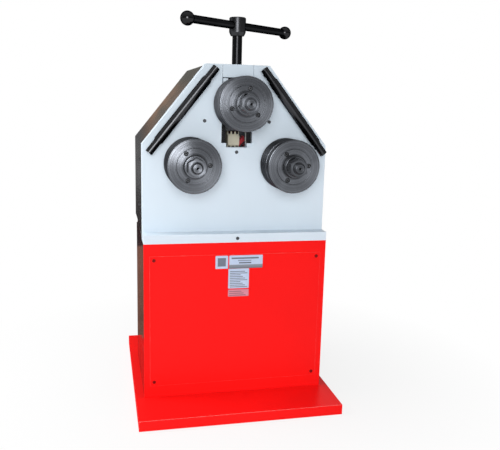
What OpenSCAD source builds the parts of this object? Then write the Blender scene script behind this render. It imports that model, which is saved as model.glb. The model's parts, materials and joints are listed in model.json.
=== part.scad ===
// Angle roll bender: pedestal machine with two driven lower rollers and a screw-fed upper roller.
// Millimetres, +Z up, front towards -Y, origin on the floor under the middle of the base.

/* [Base] */
// How far the base reaches out beside the pedestal
side_reach = 24; // [18:1:60]
// Depth of the base tray
base_d = 666; // [640:1:760]
// Height of the base tray
base_h = 30; // [24:1:50]
// Sheet thickness of the base tray
base_sheet = 3; // [2:0.5:5]
// Width of the folded-in floor flange
base_flange = 40; // [36:1:60]
// Floor bolt hole diameter
floor_hole_d = 14; // [10:1:18]
// Floor bolt hole distance from the tray's edges
floor_hole_inset = 24; // [20:1:28]

/* [Pedestal] */
// Width of the pedestal and of the head
machine_w = 540; // [500:1:556]
// Depth of the pedestal
pedestal_d = 351; // [330:1:380]
// Height of the pedestal above the base
pedestal_h = 462; // [430:1:520]
// How far the base reaches out in front of the pedestal
front_reach = 142; // [136:1:160]
// Sheet thickness of the pedestal's panels
pedestal_sheet = 2.5; // [1.5:0.5:4]
// Leg width of the corner posts
post_w = 40; // [34:1:50]
// Wall thickness of the corner posts
post_wall = 4; // [3:0.5:6]
// Width of the pedestal's foot flange
foot_flange_w = 50; // [46:1:60]
// Thickness of the pedestal's foot flange
foot_flange_t = 6; // [4:0.5:10]
// Thickness of the pedestal's top plate
top_plate_t = 12; // [8:1:20]
// Distance of the access panel's edges from the pedestal's sides
panel_side = 17; // [13:1:35]
// Distance of the access panel's upper edge from the pedestal's top
panel_drop = 35; // [22:1:60]
// Thickness of the front access panel
panel_t = 1.5; // [1:0.5:3]
// Height of the panel's lower edge above the base
panel_lift = 36; // [26:1:46]
// Distance of the panel's screws from its edges
panel_screw_inset = 12; // [9:0.5:14]
// How far the panel laps over its opening
panel_lap = 20; // [17:1:26]
// Number of vent slots in a column of the back panel
vent_rows = 7; // [3:1:9]
// Length of a vent slot
vent_l = 130; // [80:1:160]
// Height of a vent slot
vent_h = 7; // [4:0.5:10]
// Distance between vent slots
vent_step = 24; // [18:1:30]

/* [Labels] */
// Thickness of the blank label plates
label_t = 0.6; // [0.3:0.1:1.5]
// Height of the upper row of label plates
label_row_h = 39; // [30:0.5:50]
// Width of the square label plate
square_label_w = 37.5; // [30:0.5:45]
// Width of the wide label plate
wide_label_w = 100; // [80:0.5:120]
// Width of the tall label plate
tall_label_w = 62; // [50:0.5:80]
// Height of the tall label plate
tall_label_h = 60; // [45:1:75]
// Height of the strip label plate
strip_label_h = 21.5; // [16:0.5:32]
// Gap beside the square plate and above the strip plate
label_gap = 3; // [1:0.5:5]
// Gap below the wide plate
label_row_gap = 0.5; // [0.5:0.5:4]
// How far the tall plate starts to the left of the wide plate
tall_label_out = 2; // [0:0.5:6]
// Left edge of the wide plate from the machine's middle
label_left = 24; // [10:1:40]
// Drop of the label plates below the panel's top edge
label_drop = 3; // [2:0.5:20]

/* [Head] */
// Height of the head above the pedestal
head_h = 503; // [480:1:560]
// Width of the head's flat top
head_top_w = 184; // [170:1:220]
// Height of the chamfers at the head's sides
chamfer_h = 225; // [200:1:245]
// How far the head overhangs the pedestal at the rear
rear_overhang = 115; // [60:1:160]
// Setback of the head's front behind the pedestal's front
head_setback = 41; // [36:1:50]
// Height of the folded lip at the head's foot
lip_h = 26; // [22:1:40]
// Sheet thickness of the front cover
cover_sheet = 2.5; // [1.5:0.5:3.5]
// Depth of the front cover's side returns
cover_return = 35; // [25:1:45]
// Sheet thickness of the wrap cover and back cover
wrap_sheet = 2; // [1.5:0.5:3]
// How far the wrap cover slips into the front cover
wrap_lap = 10; // [6:1:16]
// Width of the wrap cover's rear flange
wrap_flange = 20; // [16:1:26]
// Rise of the head's rear overhang above the pedestal
overhang_rise = 9; // [6:1:30]
// Clearance between nested covers and the frame
cover_gap = 0.3; // [0.2:0.1:1]
// Width of the slot for the upper roller's carriage
slot_w = 90; // [86:1:100]
// Clearance between the carriage at its lowest and the sill
stop_gap = 1.5; // [0.5:0.5:4]
// Height of the frame's sill under the guide rails above the foot of the slot
sill_h = 12; // [6:1:14]

/* [Frame plates] */
// Thickness of the front frame plate
frame_t = 30; // [25:1:36]
// Thickness of the rear frame plate
rear_t = 25; // [20:1:32]
// Distance between the frame plates
plate_gap = 137.5; // [132:0.5:160]
// Height of the rear frame plate
rear_plate_h = 391; // [370:1:400]
// Diameter of the tie bars between the plates
tie_d = 28; // [20:1:34]
// Height of the bridge block across the top of the slot
bridge_h = 36; // [34:1:44]
// Depth of the bridge block
bridge_d = 46; // [44:1:56]
// Seam between the bridge block and the slot
bridge_seam = 0.8; // [0.2:0.1:1]
// Width of a guide rail
rail_w = 14.5; // [12:0.5:15]
// Thickness of a guide rail
rail_t = 16; // [12:0.5:18]

/* [Rollers] */
// Outer diameter of the rollers
roller_d = 148; // [130:1:152]
// Width of a roller over both rings
roller_w = 93.5; // [86:0.5:96]
// Width of a roller's front ring
front_ring_w = 26; // [22:0.5:32]
// Width of the groove between the rings
groove_w = 8; // [5:0.5:12]
// Depth of the groove
groove_depth = 15; // [10:0.5:18]
// Chamfer on the roller rings' edges
ring_chamfer = 1.5; // [0.5:0.25:3]
// Gap between a roller's rear face and the front cover
roller_gap = 28.5; // [24:0.5:36]
// How far the lower axes lie outside the quarter lines of the width
axis_out = 3; // [0:0.5:5]
// Depth of the upper roller's axis below the head's top
axis_drop = 108.5; // [107:0.5:112]
// Height of the upper roller's axis above the lower ones
axis_rise = 167; // [164:0.5:168]
// Diameter of the roller shafts
shaft_d = 44; // [40:1:46]
// Diameter of the shafts' threaded noses
nose_d = 30; // [24:1:33]
// Length of the nose beyond the nut
nose_out = 11; // [6:1:16]
// Chamfer of the nose
nose_chamfer = 3.5; // [1:0.5:4]
// Diameter of the centre hole in the nose
centre_hole_d = 7; // [4:0.5:9]
// Diameter of the shoulder behind a roller
shoulder_d = 60; // [54:1:64]
// Length of the shoulder behind a roller
shoulder_l = 26.5; // [22:0.5:27]
// Wall thickness of the shaft bearings
bearing_wall = 5; // [4:0.5:6]
// Radial running clearance of shafts and pins
run_gap = 0.05; // [0.02:0.01:0.1]
// Diameter of the clamp disc on a roller's face
clamp_d = 98; // [94:1:110]
// Thickness of the clamp disc
clamp_t = 6; // [5:0.5:9]
// How far the clamp disc stands proud of the roller
clamp_proud = 1; // [0.5:0.25:2]
// Head diameter of the clamp screws
clamp_screw_d = 8.5; // [7:0.5:10]
// Depth of the counterbores of the clamp screws
clamp_screw_h = 4; // [3:0.5:4.5]
// Gap between a clamp screw's head and its counterbore
clamp_bore_gap = 2; // [0.5:0.25:2.5]
// Rim of the clamp disc outside its counterbores
clamp_rim = 1.25; // [1:0.25:4]
// Width of the roller nut across its flats
nut_af = 46; // [41:1:50]
// Height of the roller nut's hexagon
nut_hex_h = 28; // [22:1:32]
// Diameter of the roller nut's flange
nut_flange_d = 62; // [58:1:70]
// Thickness of the roller nut's flange
nut_flange_t = 16; // [8:1:18]

/* [Drive] */
// Rise of the line from the pinion's axis to a gear's axis, in degrees
mesh_angle = 16.73; // [15:0.01:20]
// Teeth of the gears on the lower shafts
gear_teeth = 52; // [48:1:56]
// Teeth of the drive pinion
pinion_teeth = 20; // [18:1:22]
// Width of the gears
gear_w = 30; // [20:1:36]
// Thinning of each tooth for backlash
backlash = 0.5; // [0.3:0.05:0.9]
// Gap between the rear frame plate and the gears
gear_gap = 15; // [8:1:20]
// Diameter of the shafts where they carry the gears
gear_bore_d = 38; // [32:1:40]
// Length of shaft beyond a gear
shaft_tail = 6; // [3:1:10]
// Diameter of the pinion's shaft
pinion_shaft_d = 30; // [24:1:32]
// How deep the pinion's shaft enters the gearbox
pinion_socket = 24; // [18:1:40]
// Width of the gearbox
gearbox_w = 140; // [120:1:150]
// Height of the gearbox
gearbox_h = 142; // [126:1:146]
// Gap between the gearbox's boss and the front frame plate
gearbox_gap = 14.5; // [8:0.5:24]
// Height of the pinion's axis above the gearbox's floor
gearbox_axis_h = 74; // [66:1:80]
// How far the motor's flange stands out past its cowl
flange_rim = 4; // [3:0.5:10]
// How far the motor reaches down into the pedestal
motor_depth = 155; // [140:1:200]
// Gap between the motor's flange and the frame plates
flange_gap = 1.75; // [1:0.25:4]
// Thickness of the motor's flange
motor_flange_t = 10; // [8:1:14]
// Clearance round the motor in the pedestal's top plate
motor_gap = 5; // [3:1:10]
// Height of the motor's terminal box
terminal_h = 80; // [60:1:84]
// Width of the motor's terminal box
terminal_w = 70; // [50:1:80]
// Depth of the motor's terminal box
terminal_d = 46; // [36:1:60]

/* [Carriage] */
// Travel of the upper roller
travel = 60; // [40:1:60]
// Width of the carriage's front flange
flange_w = 84; // [80:1:85]
// Thickness of the carriage's front flange
flange_t = 12; // [10:0.5:13]
// Width of the carriage's rear block
block_w = 116; // [104:1:130]
// Depth of the carriage's rear block
block_d = 57; // [48:1:58]
// Clearance between the raised carriage and the bridge block
carriage_gap = 2.5; // [1:0.5:4]
// Height of the carriage below the upper axis
carriage_down = 50; // [44:1:51]
// Clearance of the carriage on its guides
slide_gap = 0.3; // [0.2:0.05:0.5]
// Width of the notch for the screw in the carriage's top
notch_w = 56; // [40:1:60]
// Depth of the notch for the screw in the carriage's top
notch_h = 10; // [6:1:12]
// Length of a carriage bearing
carriage_bearing_l = 30; // [24:1:36]
// Diameter of the lock collar behind the carriage
lock_d = 58; // [52:1:60]
// Width of the lock collar behind the carriage
lock_w = 14; // [10:1:15]
// Diameter of the upper shaft's tail in the lock collar
tail_d = 30; // [24:1:36]

/* [Handle] */
// Diameter of the adjusting screw
screw_d = 28; // [24:1:29]
// Setback of the screw behind the head's front
screw_back = 23; // [22:0.5:24]
// Diameter of the screw's tip in the carriage
tip_d = 18; // [14:1:19]
// Length of the screw's tip in the carriage
tip_l = 22; // [15:1:24]
// Outer diameter of the screw's bronze nut
screw_nut_d = 36; // [32:1:38]
// Height of the hub's lower face above the head
hub_lift = 79; // [70:1:120]
// Diameter of the hub
hub_d = 47; // [40:1:54]
// Height of the hub
hub_h = 50; // [46:1:60]
// Diameter of the hub's lower face
hub_foot_d = 38; // [32:1:42]
// Height of the hub's lower taper
hub_taper = 10; // [6:1:14]
// How deep the screw sits in the hub
hub_socket = 12; // [8:1:13]
// Height of the cross bar above the hub's lower face
bar_lift = 28; // [26:1:32]
// Diameter of the cross bar
bar_d = 22; // [16:0.5:24]
// Distance from the bar's middle to a knob's middle
bar_reach = 200; // [150:1:240]
// How far the bar sits off the hub's middle
bar_shift = 10; // [0:1:15]
// Turn of the bar from the machine's width
bar_turn = 35; // [0:1:180]
// Diameter of the ball knobs
knob_d = 38; // [34:1:45]
// Diameter of the bar's ends in the knobs
bar_spigot_d = 10; // [8:0.5:12]

/* [Support bars] */
// How far a support bar reaches past each end of the chamfer
support_over = 6.5; // [0:0.5:10]
// Diameter of a support bar's rod
rod_d = 21.5; // [18:0.5:24]
// Diameter of a support bar's sleeve
sleeve_d = 27; // [26:0.5:32]
// Length of bare rod at each end
rod_end = 42; // [36:1:60]
// Distance of the bars' axes from the front cover
support_off = 31; // [24:0.5:33]
// Distance of the bars' axes from the chamfer edges
support_inset = 26.5; // [24:0.5:32]
// Diameter of the posts that carry a bar
support_post_d = 12; // [10:0.5:14]
// Distance of a post from the bar's end
support_post_inset = 20; // [14:1:26]
// Clearance between sleeve ends and the rod's shoulders
sleeve_gap = 0.4; // [0.3:0.1:1]
// Diameter of the rod's shoulders beside the sleeve
rod_shoulder_d = 23.5; // [22:0.5:25]

/* [Electrics] */
// Width of the contactor
contactor_w = 36; // [30:1:45]
// Height of the contactor
contactor_h = 52; // [44:1:60]
// Depth of the contactor
contactor_d = 52; // [44:1:54]
// Distance of the contactor's middle from the machine's middle
contactor_x = 14; // [8:1:24]
// Height of the contactor above the gearbox
contactor_lift = 5; // [3:1:8]
// Number of terminal notches in the contactor
terminal_notches = 3; // [2:1:4]
// Diameter of the control wires
wire_d = 5; // [3:0.5:6]
// Width of the electrical plate
electric_plate_w = 130; // [100:1:150]
// Height of the electrical plate
electric_plate_h = 76; // [66:1:90]
// Thickness of the electrical plate
electric_plate_t = 2; // [1:0.5:3]

/* [Fasteners] */
// Thread diameter of the cover and panel screws
m_cover = 5; // [4:1:6]
// Head diameter of the cover and panel screws
m_cover_head = 9.5; // [8:0.5:12]
// Head height of the cover and panel screws
m_cover_rise = 2.75; // [2:0.25:5]
// Length of the cover screws below the head
m_cover_l = 16; // [12:1:20]
// Thread diameter of the pedestal bolts
m_foot = 12; // [10:1:14]
// Width across flats of the pedestal bolts
m_foot_af = 19; // [17:1:22]
// Head height of the pedestal bolts
m_foot_rise = 8; // [6:0.5:10]
// Clearance round a screw in its hole
hole_gap = 0.3; // [0.2:0.1:0.6]

/* [Hidden] */
$fn = 64;
eps = 0.5;
// Pedestal levels and planes
base_w = machine_w + 2 * side_reach;
pedestal_top = base_h + pedestal_h;
front_y = -base_d / 2 + front_reach;
rear_y = front_y + pedestal_d;
half_w = machine_w / 2;
inner_w = machine_w - 2 * pedestal_sheet;
panel_w = machine_w - 2 * panel_side;
panel_bottom = base_h + panel_lift;
panel_top = pedestal_top - panel_drop;
panel_y = front_y - panel_t;
// Head levels and planes
head_y = front_y + head_setback;
head_back = rear_y + rear_overhang;
head_top = pedestal_top + head_h;
chamfer_z = head_top - chamfer_h;
chamfer_x = (machine_w - head_top_w) / 2;
chamfer_angle = atan2(chamfer_h, chamfer_x);
ledge_z = pedestal_top + lip_h;
bridge_z = head_top - bridge_h;
lower_axis_x = machine_w / 4 + axis_out;
upper_axis_z = head_top - axis_drop;
lower_axis_z = upper_axis_z - axis_rise;
carriage_bottom = upper_axis_z - carriage_down;
sill_z = carriage_bottom - travel - stop_gap;
slot_z = sill_z - sill_h;
overhang_z = pedestal_top + overhang_rise;
return_y = head_y + cover_return;
wrap_y = return_y - wrap_lap;
wrap_inset = cover_sheet + cover_gap;
frame_inset = wrap_inset + wrap_sheet + cover_gap;
// Frame planes
frame_y = head_y + cover_sheet;
frame_back = frame_y + frame_t;
rear_plate_y = frame_back + plate_gap;
rear_plate_back = rear_plate_y + rear_t;
bridge_room = 2;
rail_x = slot_w / 2 - rail_w;
rail_y = frame_back - eps - rail_t;
// Tie bar places, as distances from the side, the pedestal's top and the chamfer's foot
tie_side = 40;
tie_low = 46;
tie_shoulder_side = 74;
tie_shoulder_up = 30;
tie_places = [
    [half_w - tie_side, pedestal_top + tie_low],
    [half_w - tie_shoulder_side, chamfer_z + tie_shoulder_up]
];
// Roller planes
roller_back = head_y - roller_gap;
roller_front = roller_back - roller_w;
front_ring_back = roller_front + front_ring_w;
spacer_back = front_ring_back + groove_w;
clamp_y = roller_front - clamp_proud;
clamp_back = clamp_y + clamp_t;
seat_step = 1;
seat_front = clamp_back + seat_step;
nut_front = clamp_y - nut_flange_t - nut_hex_h;
nose_front = nut_front - nose_out;
shoulder_back = roller_back + shoulder_l;
spacer_d = roller_d - 2 * groove_depth;
bearing_d = shaft_d + 2 * bearing_wall;
shaft_room = 4;
shaft_hole_d = shoulder_d + 2 * shaft_room;
nut_chamfer = 2;
clamp_bore_d = clamp_screw_d + 2 * clamp_bore_gap;
clamp_screw_r = clamp_d / 2 - clamp_rim - clamp_bore_d / 2;
clamp_screw_sink = 1.2;
clamp_socket_floor = 0.8;
upper_screw_turn = 78;
lower_screw_turn = 4;
// Drive
mesh_slack = 0.1;
mesh_distance = lower_axis_x / cos(mesh_angle);
gear_module = 2 * (mesh_distance - mesh_slack) / (gear_teeth + pinion_teeth);
pinion_hole_d = pinion_shaft_d + 2 * shaft_room;
gearbox_boss = 8;
pinion_drop = lower_axis_x * tan(mesh_angle);
pinion_z = lower_axis_z - pinion_drop;
gear_y = rear_plate_back + gear_gap;
gear_back = gear_y + gear_w;
pinion_pitch = 360 / pinion_teeth;
gear_pitch = 360 / gear_teeth;
gearbox_y = frame_back + gearbox_gap + gearbox_boss;
gearbox_z = pinion_z - gearbox_axis_h;
gearbox_top = gearbox_z + gearbox_h;
motor_y = rear_plate_y - plate_gap / 2;
motor_h = gearbox_z - pedestal_top + motor_depth;
motor_flange_d = plate_gap - 2 * flange_gap;
motor_d = motor_flange_d - 2 * flange_rim;
cowl_wall = 3;
motor_body_d = motor_d - 2 * cowl_wall;
terminal_drop = 8;
terminal_top = pedestal_top - top_plate_t - terminal_drop;
cowl_gap = 4;
cowl_h = terminal_top - terminal_h - cowl_gap - gearbox_z + motor_h;
// Carriage
carriage_setback = 1;
carriage_y = frame_y + carriage_setback;
flange_back = carriage_y + flange_t;
block_y = frame_back + slide_gap;
block_back = block_y + block_d;
carriage_top = bridge_z - carriage_gap;
notch_z = carriage_top - notch_h;
block_gap = 8;
block_top = bridge_z - block_gap;
lock_y = block_back + slide_gap;
// Handle
screw_y = head_y + screw_back;
tip_gap = 1;
notch_back = screw_y + screw_d / 2 + tip_gap;
hub_z = head_top + hub_lift;
bar_z = hub_z + bar_lift;
hub_chamfer = 2;
bar_sink = 4;
bar_plain = bar_reach - knob_d / 2 + bar_sink;
// Support bars
support_angle = 90 - chamfer_angle;
support_mid_x = (half_w + head_top_w / 2) / 2 - support_inset * sin(chamfer_angle);
support_mid_z = (chamfer_z + head_top) / 2 - support_inset * cos(chamfer_angle);
support_y = head_y - support_off;
support_l = sqrt(pow(chamfer_x, 2) + pow(chamfer_h, 2)) + 2 * support_over;
sleeve_l = support_l - 2 * rod_end;
shoulder_ring_l = 4;
post_reach = support_l / 2 - support_post_inset;
// Electrics
contactor_z = gearbox_top + contactor_lift;
electric_plate_y = rear_plate_y - electric_plate_t;
electric_plate_lift = 1;
electric_plate_z = gearbox_top + electric_plate_lift;
contactor_y = electric_plate_y - contactor_d;
notch_depth = 8;
terminal_row_h = contactor_h * 0.16;
step_h = contactor_h * 0.22;
wire_count = 4;
wire_gap = 0.2;
wire_pitch = wire_d + wire_gap;
wire_rise = 16;
wire_low = 8;
wire_climb = 4;
wire_back = 10;
wire_stagger = 6;
// Screw places on the front cover: x and height
face_screw_out = 49;
face_screw_up = 74;
foot_screw_drop = 13.5;
face_screw_x = slot_w / 2 + face_screw_out;
face_screw_z = slot_z + face_screw_up;
foot_screw_z = slot_z - foot_screw_drop;
face_screws = [[-face_screw_x, face_screw_z], [face_screw_x, face_screw_z], [0, foot_screw_z]];
lip_screw_up = 12;
lip_screw_z = pedestal_top + lip_screw_up;
upstand_t = 6;
upstand_w = 80;
upstand_gap = 2;
upstand_h = lip_h - cover_sheet - upstand_gap;
upstand_y = front_y + cover_sheet;
panel_screw_x = panel_w / 2 - panel_screw_inset;
panel_screw_rows = [panel_bottom + panel_screw_inset, panel_top - panel_screw_inset];
back_screw_x = inner_w / 2 - post_w / 2;
back_screw_in = 60;
back_screw_rows = [base_h + back_screw_in, pedestal_top - back_screw_in];
side_screw_low = 80;
side_screw_high = 220;
side_screw_rows = [pedestal_top + side_screw_low, pedestal_top + side_screw_high];
side_screw_y = rear_plate_y + rear_t / 2;
wrap_half = half_w - wrap_inset;
flange_mid = wrap_inset + wrap_sheet + wrap_flange / 2;
back_cover_drop = 30;
cover_back_screws = [
    [half_w - flange_mid, pedestal_top + side_screw_low],
    [half_w - flange_mid, chamfer_z - back_cover_drop],
    [head_top_w / 2 - flange_mid, head_top - flange_mid]
];
screw_end = 2;
foot_bolt_x = inner_w / 2 - foot_flange_w / 2;
foot_bolt_y = [front_y + pedestal_sheet + foot_flange_w / 2, rear_y - pedestal_sheet - foot_flange_w / 2];

red = [0.86, 0.08, 0.08];
white = [0.86, 0.90, 0.94];
graphite = [0.20, 0.20, 0.21];
brown = [0.32, 0.20, 0.17];
steel = [0.42, 0.43, 0.45];
black = [0.10, 0.10, 0.10];
zinc = [0.62, 0.63, 0.65];
bronze = [0.70, 0.52, 0.28];
cream = [0.90, 0.87, 0.76];

// A flat outline in X and Z, extruded along Y from y0 to y1
module along_y(y0, y1) {
    translate([0, y1, 0])
        rotate([90, 0, 0])
            linear_extrude(y1 - y0)
                children();
}

// A round bar along Y from y0 to y1
module bar_y(y0, y1, d) {
    translate([0, y1, 0])
        rotate([90, 0, 0])
            cylinder(d = d, h = y1 - y0);
}

// A round taper along Y, d0 wide at y0 and d1 wide at y1
module taper_y(y0, y1, d0, d1) {
    translate([0, y1, 0])
        rotate([90, 0, 0])
            cylinder(d1 = d1, d2 = d0, h = y1 - y0);
}

// A box from its lowest corner to its highest corner
module box(low, high) {
    translate(low)
        cube(high - low);
}

// A hexagonal bar along Y, measured across its flats
module hex_y(y0, y1, flats) {
    translate([0, y1, 0])
        rotate([90, 90, 0])
            cylinder(d = flats / cos(30), h = y1 - y0, $fn = 6);
}

// Copies a piece to the other side of the machine's middle
module both_sides() {
    children();
    mirror([1, 0, 0])
        children();
}

// The head's outline, drawn in by inset, from the pedestal's top up
function head_points(inset) = [
    [half_w - inset, pedestal_top],
    [half_w - inset, chamfer_z - inset * tan((90 - chamfer_angle) / 2)],
    [head_top_w / 2 - inset * tan(chamfer_angle / 2), head_top - inset],
    [-head_top_w / 2 + inset * tan(chamfer_angle / 2), head_top - inset],
    [-half_w + inset, chamfer_z - inset * tan((90 - chamfer_angle) / 2)],
    [-half_w + inset, pedestal_top]
];

module head_outline(inset) {
    polygon(head_points(inset));
}

// A band of sheet that follows the head's outline and is open at its foot
module head_band(inset, thickness) {
    difference() {
        head_outline(inset);
        head_outline(inset + thickness);
        translate([-half_w + inset + thickness, pedestal_top - eps])
            square([machine_w - 2 * (inset + thickness), 2 * eps]);
    }
}

// A screw with a round head in front of plane y, driven towards +Y
module face_screw(y, shank_l) {
    difference() {
        bar_y(y - m_cover_rise, y, m_cover_head);
        hex_y(y - m_cover_rise - eps, y - m_cover_rise / 2, m_cover_head * 0.48);
    }
    bar_y(y, y + shank_l, m_cover);
}

// The hole that a cover screw passes through
module screw_hole(y0, y1) {
    bar_y(y0, y1, m_cover + 2 * hole_gap);
}

// Involute angle in degrees at radius r over base radius rb
function involute(rb, r) = tan(acos(rb / r)) * 180 / PI - acos(rb / r);

// Half the tooth's angle at radius r for a gear of pitch radius rp
function tooth_half(rp, rb, r) =
    ((PI * gear_module / 2 - backlash) / (2 * rp)) * 180 / PI
    + involute(rb, rp) - involute(rb, r);

function polar(r, a) = [r * cos(a), r * sin(a)];

// Outline of a spur gear with a tooth along the X axis
function gear_points(teeth) =
    let (
        rp = gear_module * teeth / 2,
        rb = rp * cos(20),
        tip = rp + gear_module,
        root = rp - 1.25 * gear_module,
        low = max(rb + 0.05, root + 0.2),
        radii = [low, (low + rp) / 2, rp, (rp + tip) / 2, tip]
    )
    [for (i = [0 : teeth - 1], k = [0 : 11])
        let (
            mid = i * 360 / teeth,
            rise = k < 6,
            j = rise ? k - 1 : 10 - k,
            r = j < 0 ? root : radii[j],
            half = j < 0 ? tooth_half(rp, rb, low) + 0.2 : tooth_half(rp, rb, r)
        )
        polar(r, rise ? mid - half : mid + half)
    ];

// Base and pedestal

module base_tray() color(red) {
    difference() {
        box([-base_w / 2, -base_d / 2, 0], [base_w / 2, base_d / 2, base_h]);
        box([-base_w / 2 + base_sheet, -base_d / 2 + base_sheet, base_sheet],
            [base_w / 2 - base_sheet, base_d / 2 - base_sheet, base_h - base_sheet]);
        box([-base_w / 2 + base_flange, -base_d / 2 + base_flange, -eps],
            [base_w / 2 - base_flange, base_d / 2 - base_flange, base_h / 2]);
        for (x = [-1, 1], y = [-1, 1])
            translate([x * (base_w / 2 - floor_hole_inset), y * (base_d / 2 - floor_hole_inset), -eps])
                cylinder(d = floor_hole_d, h = base_sheet + 2 * eps);
        for (x = [-foot_bolt_x, foot_bolt_x], y = foot_bolt_y)
            translate([x, y, base_h / 2])
                cylinder(d = m_foot + 2 * hole_gap, h = base_h);
    }
}

module pedestal_frame() color(red) {
    inner_y0 = front_y + pedestal_sheet;
    inner_y1 = rear_y - pedestal_sheet;
    difference() {
        union() {
            difference() {
                box([-inner_w / 2, inner_y0, base_h], [inner_w / 2, inner_y1, base_h + foot_flange_t]);
                box([-inner_w / 2 + foot_flange_w, inner_y0 + foot_flange_w, base_h - eps],
                    [inner_w / 2 - foot_flange_w, inner_y1 - foot_flange_w, base_h + foot_flange_t + eps]);
            }
            for (s = [-1, 1], t = [0, 1])
                translate([s * inner_w / 2, t == 0 ? inner_y0 : inner_y1, base_h])
                    scale([-s, t == 0 ? 1 : -1, 1])
                        corner_post();
        }
        for (x = [-foot_bolt_x, foot_bolt_x], y = foot_bolt_y)
            translate([x, y, base_h - eps])
                cylinder(d = m_foot + 2 * hole_gap, h = foot_flange_t + 2 * eps);
        for (x = [-back_screw_x, back_screw_x], z = back_screw_rows)
            translate([x, 0, z])
                screw_hole(inner_y1 - m_cover_l - eps, inner_y1 + eps);
        for (x = [-panel_screw_x, panel_screw_x], z = panel_screw_rows)
            translate([x, 0, z])
                screw_hole(inner_y0 - eps, inner_y0 + post_wall + eps);
    }
}

// An angle-iron post with its corner at the origin
module corner_post() {
    post_h = pedestal_h - top_plate_t;
    cube([post_w, post_wall, post_h]);
    cube([post_wall, post_w, post_h]);
}

module pedestal_front() color(red) {
    difference() {
        box([-half_w, front_y, base_h], [half_w, front_y + pedestal_sheet, pedestal_top]);
        box([-panel_w / 2 + panel_lap, front_y - eps, panel_bottom + panel_lap],
            [panel_w / 2 - panel_lap, front_y + pedestal_sheet + eps, panel_top - panel_lap]);
        for (x = [-panel_screw_x, panel_screw_x], z = panel_screw_rows)
            translate([x, 0, z])
                screw_hole(front_y - eps, front_y + pedestal_sheet + eps);
    }
}

module side_panel() color(brown) {
    box([inner_w / 2, front_y + pedestal_sheet, base_h], [half_w, rear_y, pedestal_top]);
}

module left_side_panel() {
    mirror([1, 0, 0])
        side_panel();
}

module right_side_panel() {
    side_panel();
}

module pedestal_back_panel() color(red) {
    difference() {
        box([-inner_w / 2, rear_y - pedestal_sheet, base_h], [inner_w / 2, rear_y, pedestal_top]);
        for (s = [-1, 1], i = [0 : vent_rows - 1])
            translate([s * inner_w / 4, 0, base_h + pedestal_h / 2 + (i - (vent_rows - 1) / 2) * vent_step])
                box([-vent_l / 2, rear_y - pedestal_sheet - eps, -vent_h / 2],
                    [vent_l / 2, rear_y + eps, vent_h / 2]);
        for (x = [-back_screw_x, back_screw_x], z = back_screw_rows)
            translate([x, 0, z])
                screw_hole(rear_y - pedestal_sheet - eps, rear_y + eps);
    }
}

module front_access_panel() color(red) {
    difference() {
        box([-panel_w / 2, panel_y, panel_bottom], [panel_w / 2, front_y, panel_top]);
        for (x = [-panel_screw_x, panel_screw_x], z = panel_screw_rows)
            translate([x, 0, z])
                screw_hole(panel_y - eps, front_y + eps);
    }
}

module panel_screws() color(zinc) {
    for (x = [-panel_screw_x, panel_screw_x], z = panel_screw_rows)
        translate([x, 0, z])
            face_screw(panel_y, panel_t + pedestal_sheet + screw_end);
    for (x = [-back_screw_x, back_screw_x], z = back_screw_rows)
        translate([x, rear_y, z])
            rotate([0, 0, 180])
                face_screw(0, pedestal_sheet + post_wall + screw_end);
}

module pedestal_bolts() color(zinc) {
    head_z = base_h + foot_flange_t;
    nut_z = base_h - base_sheet - m_foot_rise;
    for (x = [-foot_bolt_x, foot_bolt_x], y = foot_bolt_y)
        translate([x, y, 0]) {
            translate([0, 0, head_z])
                cylinder(d = m_foot_af / cos(30), h = m_foot_rise, $fn = 6);
            translate([0, 0, nut_z - screw_end])
                cylinder(d = m_foot, h = head_z - nut_z + screw_end);
            difference() {
                translate([0, 0, nut_z])
                    cylinder(d = m_foot_af / cos(30), h = m_foot_rise, $fn = 6);
                translate([0, 0, nut_z - eps])
                    cylinder(d = m_foot, h = m_foot_rise + 2 * eps);
            }
        }
}

module label_plates() color(white) {
    top = panel_top - label_drop;
    row = top - label_row_h;
    tall = row - label_row_gap - tall_label_h;
    tall_left = -label_left - tall_label_out;
    label(-label_left, row, wide_label_w, label_row_h);
    label(-label_left - label_gap - square_label_w, row, square_label_w, label_row_h);
    label(tall_left, tall, tall_label_w, tall_label_h);
    label(tall_left, tall - label_gap - strip_label_h, tall_label_w, strip_label_h);
}

// One blank plate on the access panel, from its lower left corner
module label(x, z, w, h) {
    box([x, panel_y - label_t, z], [x + w, panel_y, z + h]);
}

module pedestal_top_plate() color(steel) {
    difference() {
        union() {
            box([-inner_w / 2, front_y + pedestal_sheet, pedestal_top - top_plate_t],
                [inner_w / 2, rear_y - pedestal_sheet, pedestal_top]);
            box([-upstand_w / 2, upstand_y, pedestal_top - eps],
                [upstand_w / 2, upstand_y + upstand_t, pedestal_top + upstand_h]);
        }
        translate([0, motor_y, pedestal_top - top_plate_t - eps])
            cylinder(d = motor_d + 2 * motor_gap, h = top_plate_t + 2 * eps);
        translate([0, 0, lip_screw_z])
            bar_y(upstand_y - eps, upstand_y + m_cover_l, m_cover);
    }
}

// Head covers

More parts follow.
